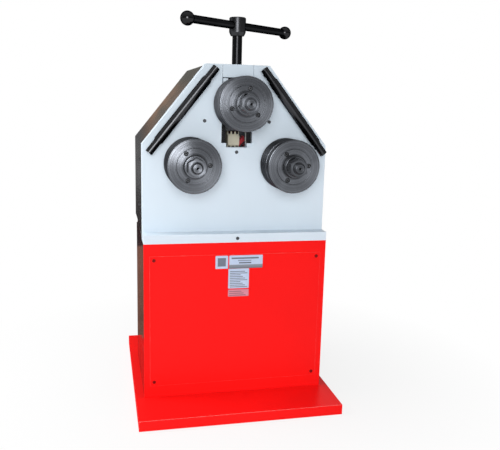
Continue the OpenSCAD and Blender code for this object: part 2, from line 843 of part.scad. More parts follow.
module head_front_cover() color(white) {
    difference() {
        union() {
            along_y(head_y, head_y + cover_sheet)
                difference() {
                    head_outline(0);
                    translate([-half_w - eps, pedestal_top - eps])
                        square([machine_w + 2 * eps, lip_h - cover_sheet + eps]);
                }
            along_y(head_y, return_y)
                head_band(0, cover_sheet);
            box([-half_w, front_y, ledge_z - cover_sheet], [half_w, head_y + cover_sheet, ledge_z]);
            box([-half_w, front_y, pedestal_top], [half_w, front_y + cover_sheet, ledge_z]);
            both_sides()
                box([half_w - cover_sheet, front_y, pedestal_top], [half_w, head_y + cover_sheet, ledge_z]);
        }
        box([-slot_w / 2, head_y - eps, slot_z], [slot_w / 2, return_y + eps, head_top + eps]);
        both_sides() {
            translate([lower_axis_x, 0, lower_axis_z])
                bar_y(head_y - eps, frame_y + eps, shaft_hole_d);
            support_places()
                cylinder(d = support_post_d + 2 * hole_gap, h = frame_y - support_y + eps);
        }
        for (p = face_screws)
            translate([p[0], 0, p[1]])
                screw_hole(head_y - eps, frame_y + eps);
        translate([0, 0, lip_screw_z])
            screw_hole(front_y - eps, front_y + cover_sheet + eps);
    }
}

module head_wrap_cover() color(graphite) {
    wrap_back = head_back - wrap_sheet;
    difference() {
        union() {
            along_y(wrap_y, wrap_back)
                head_band(wrap_inset, wrap_sheet);
            along_y(wrap_back - wrap_sheet, wrap_back)
                head_band(wrap_inset, wrap_sheet + wrap_flange);
        }
        box([-half_w, rear_y, pedestal_top - eps], [half_w, head_back + eps, overhang_z]);
        box([-slot_w / 2 - bridge_room, wrap_y - eps, chamfer_z],
            [slot_w / 2 + bridge_room, head_y + bridge_d + bridge_room, head_top]);
        both_sides() {
            for (z = side_screw_rows)
                translate([half_w - frame_inset - eps, side_screw_y, z])
                    rotate([0, 90, 0])
                        cylinder(d = m_cover + 2 * hole_gap, h = frame_inset + 2 * eps);
            for (p = cover_back_screws)
                translate([p[0], 0, p[1]])
                    screw_hole(wrap_back - wrap_sheet - eps, wrap_back + eps);
        }
    }
}

module head_back_cover() color(graphite) {
    wrap_back = head_back - wrap_sheet;
    foot_half = half_w - frame_inset;
    flange_inner = half_w - wrap_inset - wrap_sheet - wrap_flange - cover_gap;
    difference() {
        union() {
            along_y(wrap_back, head_back)
                difference() {
                    head_outline(wrap_inset);
                    translate([-half_w, pedestal_top - eps])
                        square([machine_w, overhang_rise + eps]);
                }
            box([-foot_half, rear_y - wrap_sheet, overhang_z],
                [foot_half, wrap_back + eps, overhang_z + wrap_sheet]);
            box([-foot_half, rear_y - wrap_sheet, pedestal_top],
                [foot_half, rear_y, overhang_z + wrap_sheet]);
        }
        both_sides()
            box([flange_inner, wrap_back - wrap_sheet - cover_gap, overhang_z - eps],
                [half_w, wrap_back, overhang_z + 2 * wrap_sheet]);
        both_sides()
            for (p = cover_back_screws)
                translate([p[0], 0, p[1]])
                    screw_hole(wrap_back - eps, head_back + eps);
    }
}

module cover_screws() color(zinc) {
    for (p = face_screws)
        translate([p[0], 0, p[1]])
            face_screw(head_y, m_cover_l);
    translate([0, 0, lip_screw_z])
        face_screw(front_y, cover_sheet + upstand_t);
    both_sides() {
        for (z = side_screw_rows)
            translate([wrap_half, side_screw_y, z])
                rotate([0, 0, 90])
                    face_screw(0, m_cover_l);
        for (p = cover_back_screws)
            translate([p[0], head_back, p[1]])
                rotate([0, 0, 180])
                    face_screw(0, 2 * wrap_sheet + screw_end);
    }
}

// Frame inside the head

module frame_front_plate() color(white) {
    difference() {
        along_y(frame_y, frame_back)
            head_outline(frame_inset);
        box([-slot_w / 2, frame_y - eps, sill_z], [slot_w / 2, frame_back + eps, head_top]);
        box([-rail_x, frame_y - eps, slot_z], [rail_x, frame_back + eps, sill_z + eps]);
        both_sides()
            translate([lower_axis_x, 0, lower_axis_z])
                bar_y(frame_y - eps, frame_back + eps, bearing_d);
        for (p = face_screws)
            translate([p[0], 0, p[1]])
                bar_y(frame_y - eps, head_y + m_cover_l, m_cover);
    }
}

module frame_rear_plate() color(steel) {
    difference() {
        along_y(rear_plate_y, rear_plate_back)
            intersection() {
                head_outline(frame_inset);
                translate([-half_w, pedestal_top])
                    square([machine_w, rear_plate_h]);
            }
        both_sides() {
            translate([lower_axis_x, 0, lower_axis_z])
                bar_y(rear_plate_y - eps, rear_plate_back + eps, bearing_d);
            for (z = side_screw_rows)
                translate([wrap_half - m_cover_l, side_screw_y, z])
                    rotate([0, 90, 0])
                        cylinder(d = m_cover, h = m_cover_l);
        }
        translate([0, 0, pinion_z])
            bar_y(rear_plate_y - eps, rear_plate_back + eps, pinion_hole_d);
    }
}

module frame_tie_bars() color(steel) {
    both_sides()
        for (p = tie_places)
            translate([p[0], 0, p[1]])
                bar_y(frame_back, rear_plate_y, tie_d);
}

module bridge_block() color(white) {
    difference() {
        box([-slot_w / 2 + bridge_seam, head_y, bridge_z],
            [slot_w / 2 - bridge_seam, head_y + bridge_d, head_top]);
        translate([0, screw_y, bridge_z - eps])
            cylinder(d = screw_nut_d, h = bridge_h + 2 * eps);
    }
}

module screw_nut() color(bronze) {
    translate([0, screw_y, bridge_z])
        difference() {
            cylinder(d = screw_nut_d, h = bridge_h);
            translate([0, 0, -eps])
                cylinder(d = screw_d + 2 * run_gap, h = bridge_h + 2 * eps);
        }
}

module guide_rails() color(black) {
    both_sides()
        box([rail_x, rail_y, sill_z], [slot_w / 2, rail_y + rail_t, bridge_z]);
}

// A plain bearing bush along Y
module bush(y0, y1) {
    difference() {
        bar_y(y0, y1, bearing_d);
        bar_y(y0 - eps, y1 + eps, shaft_d + 2 * run_gap);
    }
}

module lower_shaft_bearings() color(bronze) {
    both_sides()
        translate([lower_axis_x, 0, lower_axis_z]) {
            bush(frame_y, frame_back);
            bush(rear_plate_y, rear_plate_back);
        }
}

// Drive inside the head and pedestal

module gearbox_housing() color(graphite) {
    difference() {
        union() {
            box([-gearbox_w / 2, gearbox_y, gearbox_z],
                [gearbox_w / 2, rear_plate_y, gearbox_top]);
            translate([0, 0, pinion_z])
                bar_y(gearbox_y - gearbox_boss, gearbox_y + eps, gearbox_axis_h);
        }
        translate([0, 0, pinion_z])
            bar_y(rear_plate_y - pinion_socket - tip_gap, rear_plate_y + eps, pinion_shaft_d + 2 * run_gap);
    }
}

module drive_motor() color(graphite) {
    translate([0, motor_y, gearbox_z]) {
        translate([0, 0, -motor_flange_t])
            cylinder(d = motor_flange_d, h = motor_flange_t);
        translate([0, 0, -motor_h])
            cylinder(d = motor_body_d, h = motor_h - motor_flange_t + eps);
        translate([0, 0, -motor_h])
            cylinder(d = motor_d, h = cowl_h);
    }
}

module motor_terminal_box() color(graphite) {
    difference() {
        translate([0, motor_y, terminal_top - terminal_h])
            box([0, -terminal_w / 2, 0], [motor_d / 2 + terminal_d, terminal_w / 2, terminal_h]);
        translate([0, motor_y, terminal_top - terminal_h - eps])
            cylinder(d = motor_body_d, h = terminal_h + 2 * eps);
    }
}

module electrical_plate() color(zinc) {
    plate_x = contactor_x - electric_plate_w / 2;
    box([plate_x, electric_plate_y, electric_plate_z],
        [plate_x + electric_plate_w, rear_plate_y, electric_plate_z + electric_plate_h]);
}

module contactor() color(cream) {
    notch_step = contactor_w / terminal_notches;
    notch_half = notch_step * 0.28;
    translate([contactor_x, 0, contactor_z])
        difference() {
            union() {
                box([-contactor_w / 2, contactor_y + notch_depth, 0],
                    [contactor_w / 2, electric_plate_y, contactor_h]);
                box([-contactor_w / 2, contactor_y, step_h],
                    [contactor_w / 2, contactor_y + notch_depth + eps, contactor_h - step_h]);
            }
            for (i = [0 : terminal_notches - 1], z = [-eps, contactor_h - terminal_row_h])
                translate([-contactor_w / 2 + (i + 0.5) * notch_step, contactor_y, z])
                    box([-notch_half, 0, 0], [notch_half, 3 * notch_depth, terminal_row_h + eps]);
        }
}

// Control wires, each a run up from the contactor's side and back to the plate
module contactor_wires() color("crimson") {
    wire_x = contactor_x + contactor_w / 2 + wire_d / 2;
    for (i = [0 : wire_count - 1])
        translate([wire_x + i * wire_pitch, 0, contactor_z + wire_low + wire_climb * i])
            wire_loop(contactor_d - wire_back - wire_stagger * i, wire_rise);
}

// A wire that leaves the plate, turns up and returns to the plate
module wire_loop(reach, rise) {
    y0 = electric_plate_y - reach;
    bar_y(y0, electric_plate_y, wire_d);
    translate([0, y0, 0]) {
        sphere(d = wire_d);
        cylinder(d = wire_d, h = rise);
        translate([0, 0, rise])
            sphere(d = wire_d);
    }
    translate([0, 0, rise])
        bar_y(y0, electric_plate_y, wire_d);
}

// Support bars along the chamfers

// Places its children at both post positions of the right-hand bar, with Z pointing to the plate
module support_places() {
    for (s = [-1, 1])
        translate([support_mid_x, support_y, support_mid_z])
            rotate([0, -support_angle, 0])
                translate([0, 0, s * post_reach])
                    rotate([-90, 0, 0])
                        children();
}

// Lays its children along the right-hand bar's axis, centred on it
module along_support() {
    translate([support_mid_x, support_y, support_mid_z])
        rotate([0, -support_angle, 0])
            children();
}

module support_rod() color(black) {
    along_support() {
        cylinder(d = rod_d, h = support_l, center = true);
        for (s = [-1, 1])
            translate([0, 0, s * (sleeve_l / 2 + sleeve_gap + shoulder_ring_l / 2)])
                cylinder(d = rod_shoulder_d, h = shoulder_ring_l, center = true);
    }
    support_places()
        cylinder(d = support_post_d, h = frame_y - support_y);
}

module support_sleeve() color(black) {
    along_support()
        difference() {
            cylinder(d = sleeve_d, h = sleeve_l, center = true);
            cylinder(d = rod_d + 2 * run_gap, h = sleeve_l + 2 * eps, center = true);
        }
}

module left_support_rod() {
    mirror([1, 0, 0])
        support_rod();
}

module right_support_rod() {
    support_rod();
}

module left_support_sleeve() {
    mirror([1, 0, 0])
        support_sleeve();
}

module right_support_sleeve() {
    support_sleeve();
}

// Roller pieces, each drawn about the roller's own axis along Y

// The front end that all three shafts share, from the nose to the shoulder
module shaft_front() {
    difference() {
        union() {
            taper_y(nose_front, nose_front + nose_chamfer, nose_d - 2 * nose_chamfer, nose_d);
            bar_y(nose_front + nose_chamfer, seat_front + eps, nose_d);
            bar_y(seat_front, roller_back + eps, shaft_d);
            bar_y(roller_back, shoulder_back, shoulder_d);
        }
        taper_y(nose_front - 0.01, nose_front + centre_hole_d / 2, centre_hole_d, 0.4);
        bar_y(nose_front - eps, nose_front + centre_hole_d, centre_hole_d * 0.4);
    }
}

module lower_shaft() color(steel) {
    shaft_front();
    bar_y(shoulder_back - eps, gear_y, shaft_d);
    bar_y(gear_y - eps, gear_back + shaft_tail, gear_bore_d);
}

module upper_shaft_bar() color(steel) {
    shaft_front();
    bar_y(shoulder_back - eps, lock_y, shaft_d);
    bar_y(lock_y - eps, lock_y + lock_w + screw_end, tail_d);
}

// A roller ring from y0 to y1 with chamfered edges and the shaft's bore
module ring(y0, y1) {
    difference() {
        union() {
            bar_y(y0 + ring_chamfer, y1 - ring_chamfer, roller_d);
            taper_y(y0, y0 + ring_chamfer, roller_d - 2 * ring_chamfer, roller_d);
            taper_y(y1 - ring_chamfer, y1, roller_d, roller_d - 2 * ring_chamfer);
        }
        bar_y(y0 - eps, y1 + eps, shaft_d);
    }
}

module rear_ring() color(steel) {
    ring(spacer_back, roller_back);
}

module spacer_ring() color(steel) {
    difference() {
        bar_y(front_ring_back, spacer_back, spacer_d);
        bar_y(front_ring_back - eps, spacer_back + eps, shaft_d);
    }
}

module front_ring() color(steel) {
    difference() {
        ring(roller_front, front_ring_back);
        bar_y(roller_front - eps, clamp_back, clamp_d);
    }
}

// The clamp disc with its three socket screws sunk in it, the first at angle turn
module clamp_disc(turn) color(steel) {
    difference() {
        bar_y(clamp_y, clamp_back, clamp_d);
        bar_y(clamp_y - eps, clamp_back + eps, nose_d);
        for (i = [0 : 2])
            rotate([0, -turn - 120 * i, 0])
                translate([clamp_screw_r, 0, 0])
                    bar_y(clamp_y - eps, clamp_y + clamp_screw_h, clamp_bore_d);
    }
    for (i = [0 : 2])
        rotate([0, -turn - 120 * i, 0])
            translate([clamp_screw_r, 0, 0])
                clamp_screw();
}

module clamp_screw() {
    difference() {
        bar_y(clamp_y + clamp_screw_sink, clamp_y + clamp_screw_h - run_gap, clamp_screw_d);
        hex_y(clamp_y, clamp_y + clamp_screw_h - clamp_socket_floor, clamp_screw_d / 2);
    }
}

module roller_nut() color(steel) {
    hex_back = clamp_y - nut_flange_t;
    difference() {
        union() {
            hex_y(nut_front, hex_back + eps, nut_af);
            taper_y(hex_back, hex_back + nut_chamfer, nut_flange_d - 2 * nut_chamfer, nut_flange_d);
            bar_y(hex_back + nut_chamfer, clamp_y, nut_flange_d);
        }
        bar_y(nut_front - eps, clamp_y + eps, nose_d);
    }
}

// A spur gear from y0 to y1 turned by an angle about its own axis
module gear(teeth, y0, y1, bore, turn) {
    rotate([0, -turn, 0])
        difference() {
            along_y(y0, y1)
                polygon(gear_points(teeth));
            bar_y(y0 - eps, y1 + eps, bore);
        }
}

// Turn that puts a tooth gap of a lower gear on the pinion's tooth; side is -1 left or 1 right
function gear_turn(side) =
    let (
        to_gear = side > 0 ? mesh_angle : 180 - mesh_angle,
        tooth = round(to_gear / pinion_pitch) * pinion_pitch,
        offset = tooth - to_gear
    )
    to_gear + 180 - offset * pinion_teeth / gear_teeth + gear_pitch / 2;

module lower_gear(side) color(steel) {
    gear(gear_teeth, gear_y, gear_back, gear_bore_d, gear_turn(side));
}

module drive_pinion() color(steel) {
    translate([0, 0, pinion_z]) {
        gear(pinion_teeth, gear_y, gear_back, pinion_shaft_d, 0);
        bar_y(rear_plate_y - pinion_socket, gear_back + shaft_tail, pinion_shaft_d);
    }
}

// Places its children on an axis: -1 left, 1 right, 0 upper
module on_axis(side) {
    translate([side * lower_axis_x, 0, side == 0 ? upper_axis_z : lower_axis_z])
        children();
}

module left_shaft() { on_axis(-1) lower_shaft(); }
module left_rear_ring() { on_axis(-1) rear_ring(); }
module left_spacer_ring() { on_axis(-1) spacer_ring(); }
module left_front_ring() { on_axis(-1) front_ring(); }
module left_clamp_disc() { on_axis(-1) clamp_disc(lower_screw_turn); }
module left_roller_nut() { on_axis(-1) roller_nut(); }
module left_gear() { on_axis(-1) lower_gear(-1); }
module right_shaft() { on_axis(1) lower_shaft(); }
module right_rear_ring() { on_axis(1) rear_ring(); }
module right_spacer_ring() { on_axis(1) spacer_ring(); }
module right_front_ring() { on_axis(1) front_ring(); }
module right_clamp_disc() { on_axis(1) clamp_disc(lower_screw_turn); }
module right_roller_nut() { on_axis(1) roller_nut(); }
module right_gear() { on_axis(1) lower_gear(1); }
module upper_shaft() { on_axis(0) upper_shaft_bar(); }
module upper_rear_ring() { on_axis(0) rear_ring(); }
module upper_spacer_ring() { on_axis(0) spacer_ring(); }
module upper_front_ring() { on_axis(0) front_ring(); }
module upper_clamp_disc() { on_axis(0) clamp_disc(upper_screw_turn); }
module upper_roller_nut() { on_axis(0) roller_nut(); }

module upper_lock_collar() color(steel) {
    on_axis(0)
        difference() {
            bar_y(lock_y, lock_y + lock_w, lock_d);
            bar_y(lock_y - eps, lock_y + lock_w + eps, tail_d);
        }
}

// Carriage that slides in the slot

module carriage() color(white) {
    difference() {
        union() {
            box([-flange_w / 2, carriage_y, carriage_bottom], [flange_w / 2, flange_back, carriage_top]);
            box([-rail_x + slide_gap, flange_back - eps, carriage_bottom],
                [rail_x - slide_gap, block_y + eps, carriage_top]);
            box([-block_w / 2, block_y, carriage_bottom], [block_w / 2, block_back, block_top]);
        }
        box([-notch_w / 2, carriage_y - eps, notch_z], [notch_w / 2, notch_back, carriage_top + eps]);
        on_axis(0)
            bar_y(carriage_y - eps, block_back + eps, bearing_d);
        translate([0, screw_y, notch_z - tip_l - tip_gap])
            cylinder(d = tip_d + 2 * run_gap, h = tip_l + notch_h);
    }
}

module carriage_bearings() color(bronze) {
    on_axis(0) {
        bush(carriage_y, carriage_y + carriage_bearing_l);
        bush(block_back - carriage_bearing_l, block_back);
    }
}

// Handle

module adjusting_screw() color(black) {
    translate([0, screw_y, 0]) {
        translate([0, 0, notch_z + slide_gap])
            cylinder(d = screw_d, h = hub_z + hub_socket - notch_z - slide_gap);
        translate([0, 0, notch_z - tip_l])
            cylinder(d = tip_d, h = tip_l + slide_gap + eps);
    }
}

// Lays its children along the cross bar, with X along the bar and the origin at its middle
module along_bar() {
    translate([0, screw_y, bar_z])
        rotate([0, 0, bar_turn])
            translate([bar_shift, 0, 0])
                children();
}

module handle_hub() color(black) {
    difference() {
        translate([0, screw_y, hub_z]) {
            cylinder(d1 = hub_foot_d, d2 = hub_d, h = hub_taper);
            translate([0, 0, hub_taper])
                cylinder(d = hub_d, h = hub_h - hub_taper - hub_chamfer);
            translate([0, 0, hub_h - hub_chamfer])
                cylinder(d1 = hub_d, d2 = hub_d - 2 * hub_chamfer, h = hub_chamfer);
        }
        translate([0, screw_y, hub_z - eps])
            cylinder(d = screw_d, h = hub_socket + eps);
        along_bar()
            rotate([0, 90, 0])
                cylinder(d = bar_d, h = 2 * bar_reach, center = true);
    }
}

module handle_bar() color(black) {
    along_bar()
        rotate([0, 90, 0]) {
            cylinder(d = bar_d, h = 2 * bar_plain, center = true);
            cylinder(d = bar_spigot_d, h = 2 * bar_reach, center = true);
        }
}

module ball_knobs() color(black) {
    along_bar()
        difference() {
            for (s = [-1, 1])
                translate([s * bar_reach, 0, 0])
                    rotate([0, 0, 90])
                        sphere(d = knob_d);
            rotate([0, 90, 0]) {
                cylinder(d = bar_d + 2 * run_gap, h = 2 * bar_plain, center = true);
                cylinder(d = bar_spigot_d + 2 * run_gap, h = 2 * (bar_reach + run_gap), center = true);
            }
        }
}

base_tray();
pedestal_frame();
pedestal_front();
left_side_panel();
right_side_panel();
pedestal_back_panel();
front_access_panel();
panel_screws();
pedestal_bolts();
label_plates();
pedestal_top_plate();
head_front_cover();
head_wrap_cover();
head_back_cover();
cover_screws();
frame_front_plate();
frame_rear_plate();
frame_tie_bars();
bridge_block();
screw_nut();
guide_rails();
lower_shaft_bearings();
gearbox_housing();
drive_motor();
motor_terminal_box();
electrical_plate();
contactor();
contactor_wires();
left_support_rod();
right_support_rod();
left_shaft();
left_rear_ring();
left_spacer_ring();
left_front_ring();
left_clamp_disc();
left_roller_nut();
left_gear();
right_shaft();
right_rear_ring();
right_spacer_ring();
right_front_ring();
right_clamp_disc();
right_roller_nut();
right_gear();
upper_shaft();
upper_rear_ring();
upper_spacer_ring();
upper_front_ring();
upper_clamp_disc();
upper_roller_nut();
upper_lock_collar();
carriage();
carriage_bearings();
adjusting_screw();
handle_hub();
handle_bar();
ball_knobs();
drive_pinion();
left_support_sleeve();
right_support_sleeve();
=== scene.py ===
"""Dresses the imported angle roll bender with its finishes, edges and small parts, and sets the stage."""

import json
import math

import bmesh
import bpy
from bpy.props import FloatProperty, FloatVectorProperty, IntProperty, PointerProperty
from mathutils import Matrix, Vector

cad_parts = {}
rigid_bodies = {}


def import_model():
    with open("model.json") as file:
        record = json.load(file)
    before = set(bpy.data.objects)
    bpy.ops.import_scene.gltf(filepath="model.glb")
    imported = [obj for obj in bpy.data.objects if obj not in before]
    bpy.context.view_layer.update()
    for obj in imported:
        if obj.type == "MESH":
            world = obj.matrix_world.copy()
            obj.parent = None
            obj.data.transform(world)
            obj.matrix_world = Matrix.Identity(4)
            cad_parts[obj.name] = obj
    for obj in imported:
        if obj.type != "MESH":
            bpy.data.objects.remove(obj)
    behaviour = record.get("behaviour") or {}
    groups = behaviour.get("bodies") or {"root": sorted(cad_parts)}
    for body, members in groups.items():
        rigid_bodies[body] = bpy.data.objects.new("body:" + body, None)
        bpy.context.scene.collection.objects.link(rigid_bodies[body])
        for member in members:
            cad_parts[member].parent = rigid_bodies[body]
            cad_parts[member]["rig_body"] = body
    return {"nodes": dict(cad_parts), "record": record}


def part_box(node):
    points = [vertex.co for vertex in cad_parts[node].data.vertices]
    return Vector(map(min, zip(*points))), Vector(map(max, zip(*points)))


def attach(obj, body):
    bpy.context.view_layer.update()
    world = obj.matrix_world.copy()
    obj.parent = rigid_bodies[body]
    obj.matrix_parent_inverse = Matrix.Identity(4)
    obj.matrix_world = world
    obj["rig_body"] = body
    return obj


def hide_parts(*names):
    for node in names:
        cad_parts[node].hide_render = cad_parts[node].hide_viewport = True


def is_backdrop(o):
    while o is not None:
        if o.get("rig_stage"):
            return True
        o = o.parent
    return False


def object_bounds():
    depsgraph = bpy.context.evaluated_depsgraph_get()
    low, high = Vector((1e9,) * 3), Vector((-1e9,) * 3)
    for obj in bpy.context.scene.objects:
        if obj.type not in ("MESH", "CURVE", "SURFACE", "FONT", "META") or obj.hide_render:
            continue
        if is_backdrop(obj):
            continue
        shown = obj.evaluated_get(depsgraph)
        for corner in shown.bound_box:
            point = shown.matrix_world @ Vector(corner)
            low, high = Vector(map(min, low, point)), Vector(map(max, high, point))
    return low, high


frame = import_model()
cad_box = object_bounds()

bl_info = {
    "name": "Angle Roll Bender",
    "version": (1, 0, 0),
    "blender": (4, 5, 0),
    "location": "3D View > Sidebar > Roll Bender",
    "description": "Builds the finishes, edges, screws, wires and stage of an angle roll bender",
    "category": "Object",
}

MM = 0.001
SHARP_ANGLE = math.radians(32)
FLAT_ANGLE = math.radians(0.3)
MERGE_DISTANCE = 1e-6
EDGE_MARK = "edge"
INK = (0.06, 0.065, 0.075)
# Each roller's side, roughness, slope of its face, and tints of its rims and of its nut, which are painted
# light and shade
ROLLER_LOOKS = (
    ("left", 0.26, 0.055, 0.36, 1.25),
    ("right", 0.22, 0.0, 0.42, 0.6),
    ("upper", 0.26, 0.02, 0.75, 0.95),
)


def colour(label, note, default):
    """A colour that a user can change."""
    return FloatVectorProperty(
        name=label, description=note, subtype="COLOR", size=3, min=0, max=1, default=default)


def size(label, note, default):
    """A length in metres that a user can change."""
    return FloatProperty(name=label, description=note, unit="LENGTH", min=0, precision=4, default=default)


def level(label, note, default, unit="NONE"):
    """A number, such as a lamp's power or a strength, that a user can change."""
    return FloatProperty(name=label, description=note, unit=unit, min=0, default=default)


def spot(label, note, default):
    """A place in metres that a user can change."""
    return FloatVectorProperty(
        name=label, description=note, subtype="TRANSLATION", unit="LENGTH", size=3, default=default)


class BenderFinishes(bpy.types.PropertyGroup):
    """Colours of the machine's finishes."""
    red: colour("Red paint", "Powder coat of the pedestal and the base", (0.97, 0.011, 0.011))
    # The bend colour is pale: a painted highlight along the base tray's bends
    red_bend: colour("Red bend", "Thin, shiny powder coat along the red bends", (0.98, 0.52, 0.50))
    # The seam colour is a paler red: a painted highlight along the access panel's edges
    red_seam: colour("Red seam", "Powder coat along the access panel's edge", (0.97, 0.13, 0.12))
    white: colour("White paint", "Powder coat of the head's front", (0.68, 0.78, 0.87))
    graphite: colour("Graphite paint", "Paint of the head's wrap cover", (0.030, 0.027, 0.025))
    # The side colour is painted shade: a dark red-brown in place of the red paint where little light falls
    # on the sides
    side: colour("Side paint", "Paint of the pedestal's side panels", (0.045, 0.018, 0.014))
    steel: colour("Turned steel", "Steel of the rollers, shafts and nuts", (0.150, 0.160, 0.180))
    milled: colour("Milled steel", "Bare steel inside the machine", (0.32, 0.32, 0.33))
    black: colour("Black oxide", "Finish of the handle, screw and support bars", (0.019, 0.0195, 0.021))
    knob: colour("Knob lacquer", "Lacquer of the ball knobs", (0.030, 0.030, 0.032))
    zinc: colour("Zinc plate", "Finish of the screws", (0.085, 0.088, 0.096))
    bronze: colour("Bronze", "Bushes and the screw's nut", (0.42, 0.27, 0.11))
    # The guide face colour is painted light: pale paint on the inward faces of the black rails
    guide: colour("Guide face", "Inner faces of the slot's rails", (0.86, 0.88, 0.90))
    # The gap colour is painted shade: the dark bands beside the pale strip on the wrap cover
    gap_shade: colour("Gasket", "Strips at both sides of the wrap cover's trim", (0.010, 0.010, 0.011))
    notch: colour("Notch", "Insides of the contactor's terminal notches", (0.035, 0.006, 0.006))
    cream: colour("Cream plastic", "Housing of the contactor", (0.95, 0.90, 0.72))
    wire: colour("Wire red", "Insulation of the control wires", (0.92, 0.09, 0.12))
    casting: colour("Casting", "Gearbox and motor", (0.08, 0.085, 0.095))
    label: colour("Label face", "Face of the plain plates", (0.50, 0.60, 0.78))
    label_strip: colour("Strip face", "Face of the strip plate", (0.66, 0.26, 0.33))
    label_band: colour("Label band", "Band along the wide plate", (0.16, 0.18, 0.21))
    label_field: colour("Label field", "Plain field of the square plate", (0.075, 0.085, 0.11))
    # The pale strip is a painted highlight along the wrap cover's front edge
    edge_light: colour("Trim", "Bright strip along the wrap cover's front edge", (0.62, 0.64, 0.67))
    flag_floor: colour("Flag floor", "Red card beside the tray that the sides reflect", (0.95, 0.014, 0.016))
    flag_low: colour("Flag foot", "Foot of the dark card that the sides reflect", (0.20, 0.095, 0.07))
    flag_dark: colour("Flag shade", "Darkest part of the card that the sides reflect", (0.032, 0.024, 0.028))
    flag_high: colour("Flag middle", "Middle of the dark card that the sides reflect", (0.125, 0.125, 0.13))
    flag_top: colour("Flag head", "Head of the dark card that the chamfers reflect", (0.38, 0.24, 0.17))
    flag_olive: colour("Flag patches", "Patches at the head of the dark card", (0.19, 0.185, 0.165))


class BenderSizes(bpy.types.PropertyGroup):
    """Sizes of the edges and small parts."""
    tray_bend: size("Tray bend", "Radius of the base tray's bends", 4.0 * MM)
    sheet_bend: size("Sheet bend", "Radius of the bends of the covers", 2.2 * MM)
    sheet_edge: size("Sheet edge", "Rounding of cut sheet edges", 0.4 * MM)
    machined_edge: size("Machined edge", "Break of a machined edge", 0.5 * MM)
    ring_edge: size("Ring edge", "Rounding of the roller rings' edges", 0.9 * MM)
    cast_edge: size("Cast edge", "Rounding of cast and moulded edges", 1.2 * MM)
    bevel_steps: IntProperty(
        name="Bevel steps", description="Faces across a rounded edge", min=1, default=3)
    # Widths of the dark band of painted shade and of the pale strip of painted highlight behind the head's
    # front cover
    gap_shade: size("Gasket", "Width of the gasket behind the head's front cover", 10.0 * MM)
    edge_light: size("Trim strip", "Width of the pale strip behind the gasket", 10.0 * MM)
    screw_head: size("Screw head", "Diameter of a cover screw's head", 9.5 * MM)
    screw_rise: size("Screw rise", "Height of a cover screw's head", 2.75 * MM)
    screw_socket: size("Screw socket", "Width of a cover screw's socket", 4.0 * MM)
    washer: size("Washer", "Diameter of the washer under a cover screw", 10.0 * MM)
    washer_rise: size("Washer rise", "Thickness of the washer under a cover screw", 0.6 * MM)
    terminal: size("Terminal", "Diameter of a contactor terminal's screw", 5.0 * MM)
    wire_bend: size("Wire bend", "Bend radius of the control wires", 6.0 * MM)
    louvre_depth: size("Louvre depth", "Depth of a louvre behind the back panel", 9.0 * MM)
    collar: size("Collar", "Radius of the collar between bar and knob", 11.6 * MM)
    collar_rise: size("Collar rise", "Height of the collar between bar and knob", 1.6 * MM)


class BenderStage(bpy.types.PropertyGroup):
    """The camera, the lamps and the floor."""
    lens: level("Lens", "Focal length in millimetres", 46.01, "CAMERA")
    shift: FloatVectorProperty(
        name="Shift", description="Camera shift across and up", size=2, default=(0.00102, 0.00284))
    place: spot("Camera", "Where the camera stands", (-0.3774, -1.9613, 0.8893))
    aim: FloatVectorProperty(
        name="Aim", description="Yaw to the right, pitch and roll of the camera", subtype="EULER",
        unit="ROTATION", size=3,
        default=(math.radians(13.09), math.radians(-10.92), math.radians(1.45)))
    key_power: level("Key lamp", "Power of the lamp behind the camera", 54, "POWER")
    key_back: size("Key distance", "How far behind the camera the key lamp stands", 1.4)
    key_rise: size("Key rise", "How far above the camera's axis the key lamp stands", 0.12)
    key_width: size("Key width", "Width of the key lamp", 1.3)
    front_fill: level("Front fill", "Power of the lamp at the camera", 6.2, "POWER")
    front_width: size("Front fill width", "Width of the lamp at the camera", 0.4)
    left_fill: level("Left fill", "Power of the lamp at the upper left", 26.0, "POWER")
    left_width: size("Left fill width", "Width of the lamp at the upper left", 0.8)
    left_place: spot("Left fill place", "Where the lamp at the upper left stands", (-1.5, 0.10, 1.4))
    sky: level("Sky", "Strength of the light from the sides", 0.06)
    sky_top: level("Sky top", "Strength of the light from above", 0.40)
    sky_gloss: level("Sky gloss", "Gain of the sky in mirrors", 2.2)
    floor: colour("Floor", "Colour of the floor", (0.8, 0.8, 0.8))


def finishes():
    return bpy.context.scene.bender_finishes


def sizes():
    return bpy.context.scene.bender_sizes


class Nodes:
    """Adds nodes to the tree of a material, of the world or of a shape."""

    def __init__(self, tree):
        self.tree = tree

    def node(self, kind, inputs=None, **settings):
        made = self.tree.nodes.new(kind)
        for key, value in settings.items():
            setattr(made, key, value)
        for key, value in (inputs or {}).items():
            self.feed(made.inputs[key], value)
        return made

    def feed(self, socket, value):
        """Links or sets an input; a list is a row of links."""
        for item in value if isinstance(value, list) else [value]:
            if isinstance(item, bpy.types.NodeSocket):
                self.tree.links.new(item, socket)
            else:
                socket.default_value = item

    def math(self, operation, first, second=0.0):
        made = self.node("ShaderNodeMath", {0: first, 1: second}, operation=operation)
        return made.outputs[0]

    def times(self, first, second):
        return self.math("MULTIPLY", first, second)

    def vector(self, operation, first, second, output="Vector"):
        made = self.node("ShaderNodeVectorMath", {0: first, 1: second}, operation=operation)
        return made.outputs[output]

    def spread(self, value, low, high, to_low=0.0, to_high=1.0):
        """Maps low to high onto another range, held at its ends."""
        made = self.node("ShaderNodeMapRange", {
            "Value": value, "From Min": low, "From Max": high, "To Min": to_low, "To Max": to_high})
        return made.outputs["Result"]

    def within(self, value, low, high):
        """1 where a value lies between two limits."""
        over = self.math("GREATER_THAN", value, low)
        return self.times(over, self.math("LESS_THAN", value, high))

    def mix(self, share, first, second):
        made = self.node("ShaderNodeMix", data_type="RGBA")
        self.feed(made.inputs[0], share)
        for index, value in ((6, first), (7, second)):
            if not isinstance(value, bpy.types.NodeSocket):
                value = (*value, 1)
            self.feed(made.inputs[index], value)
        return made.outputs[2]


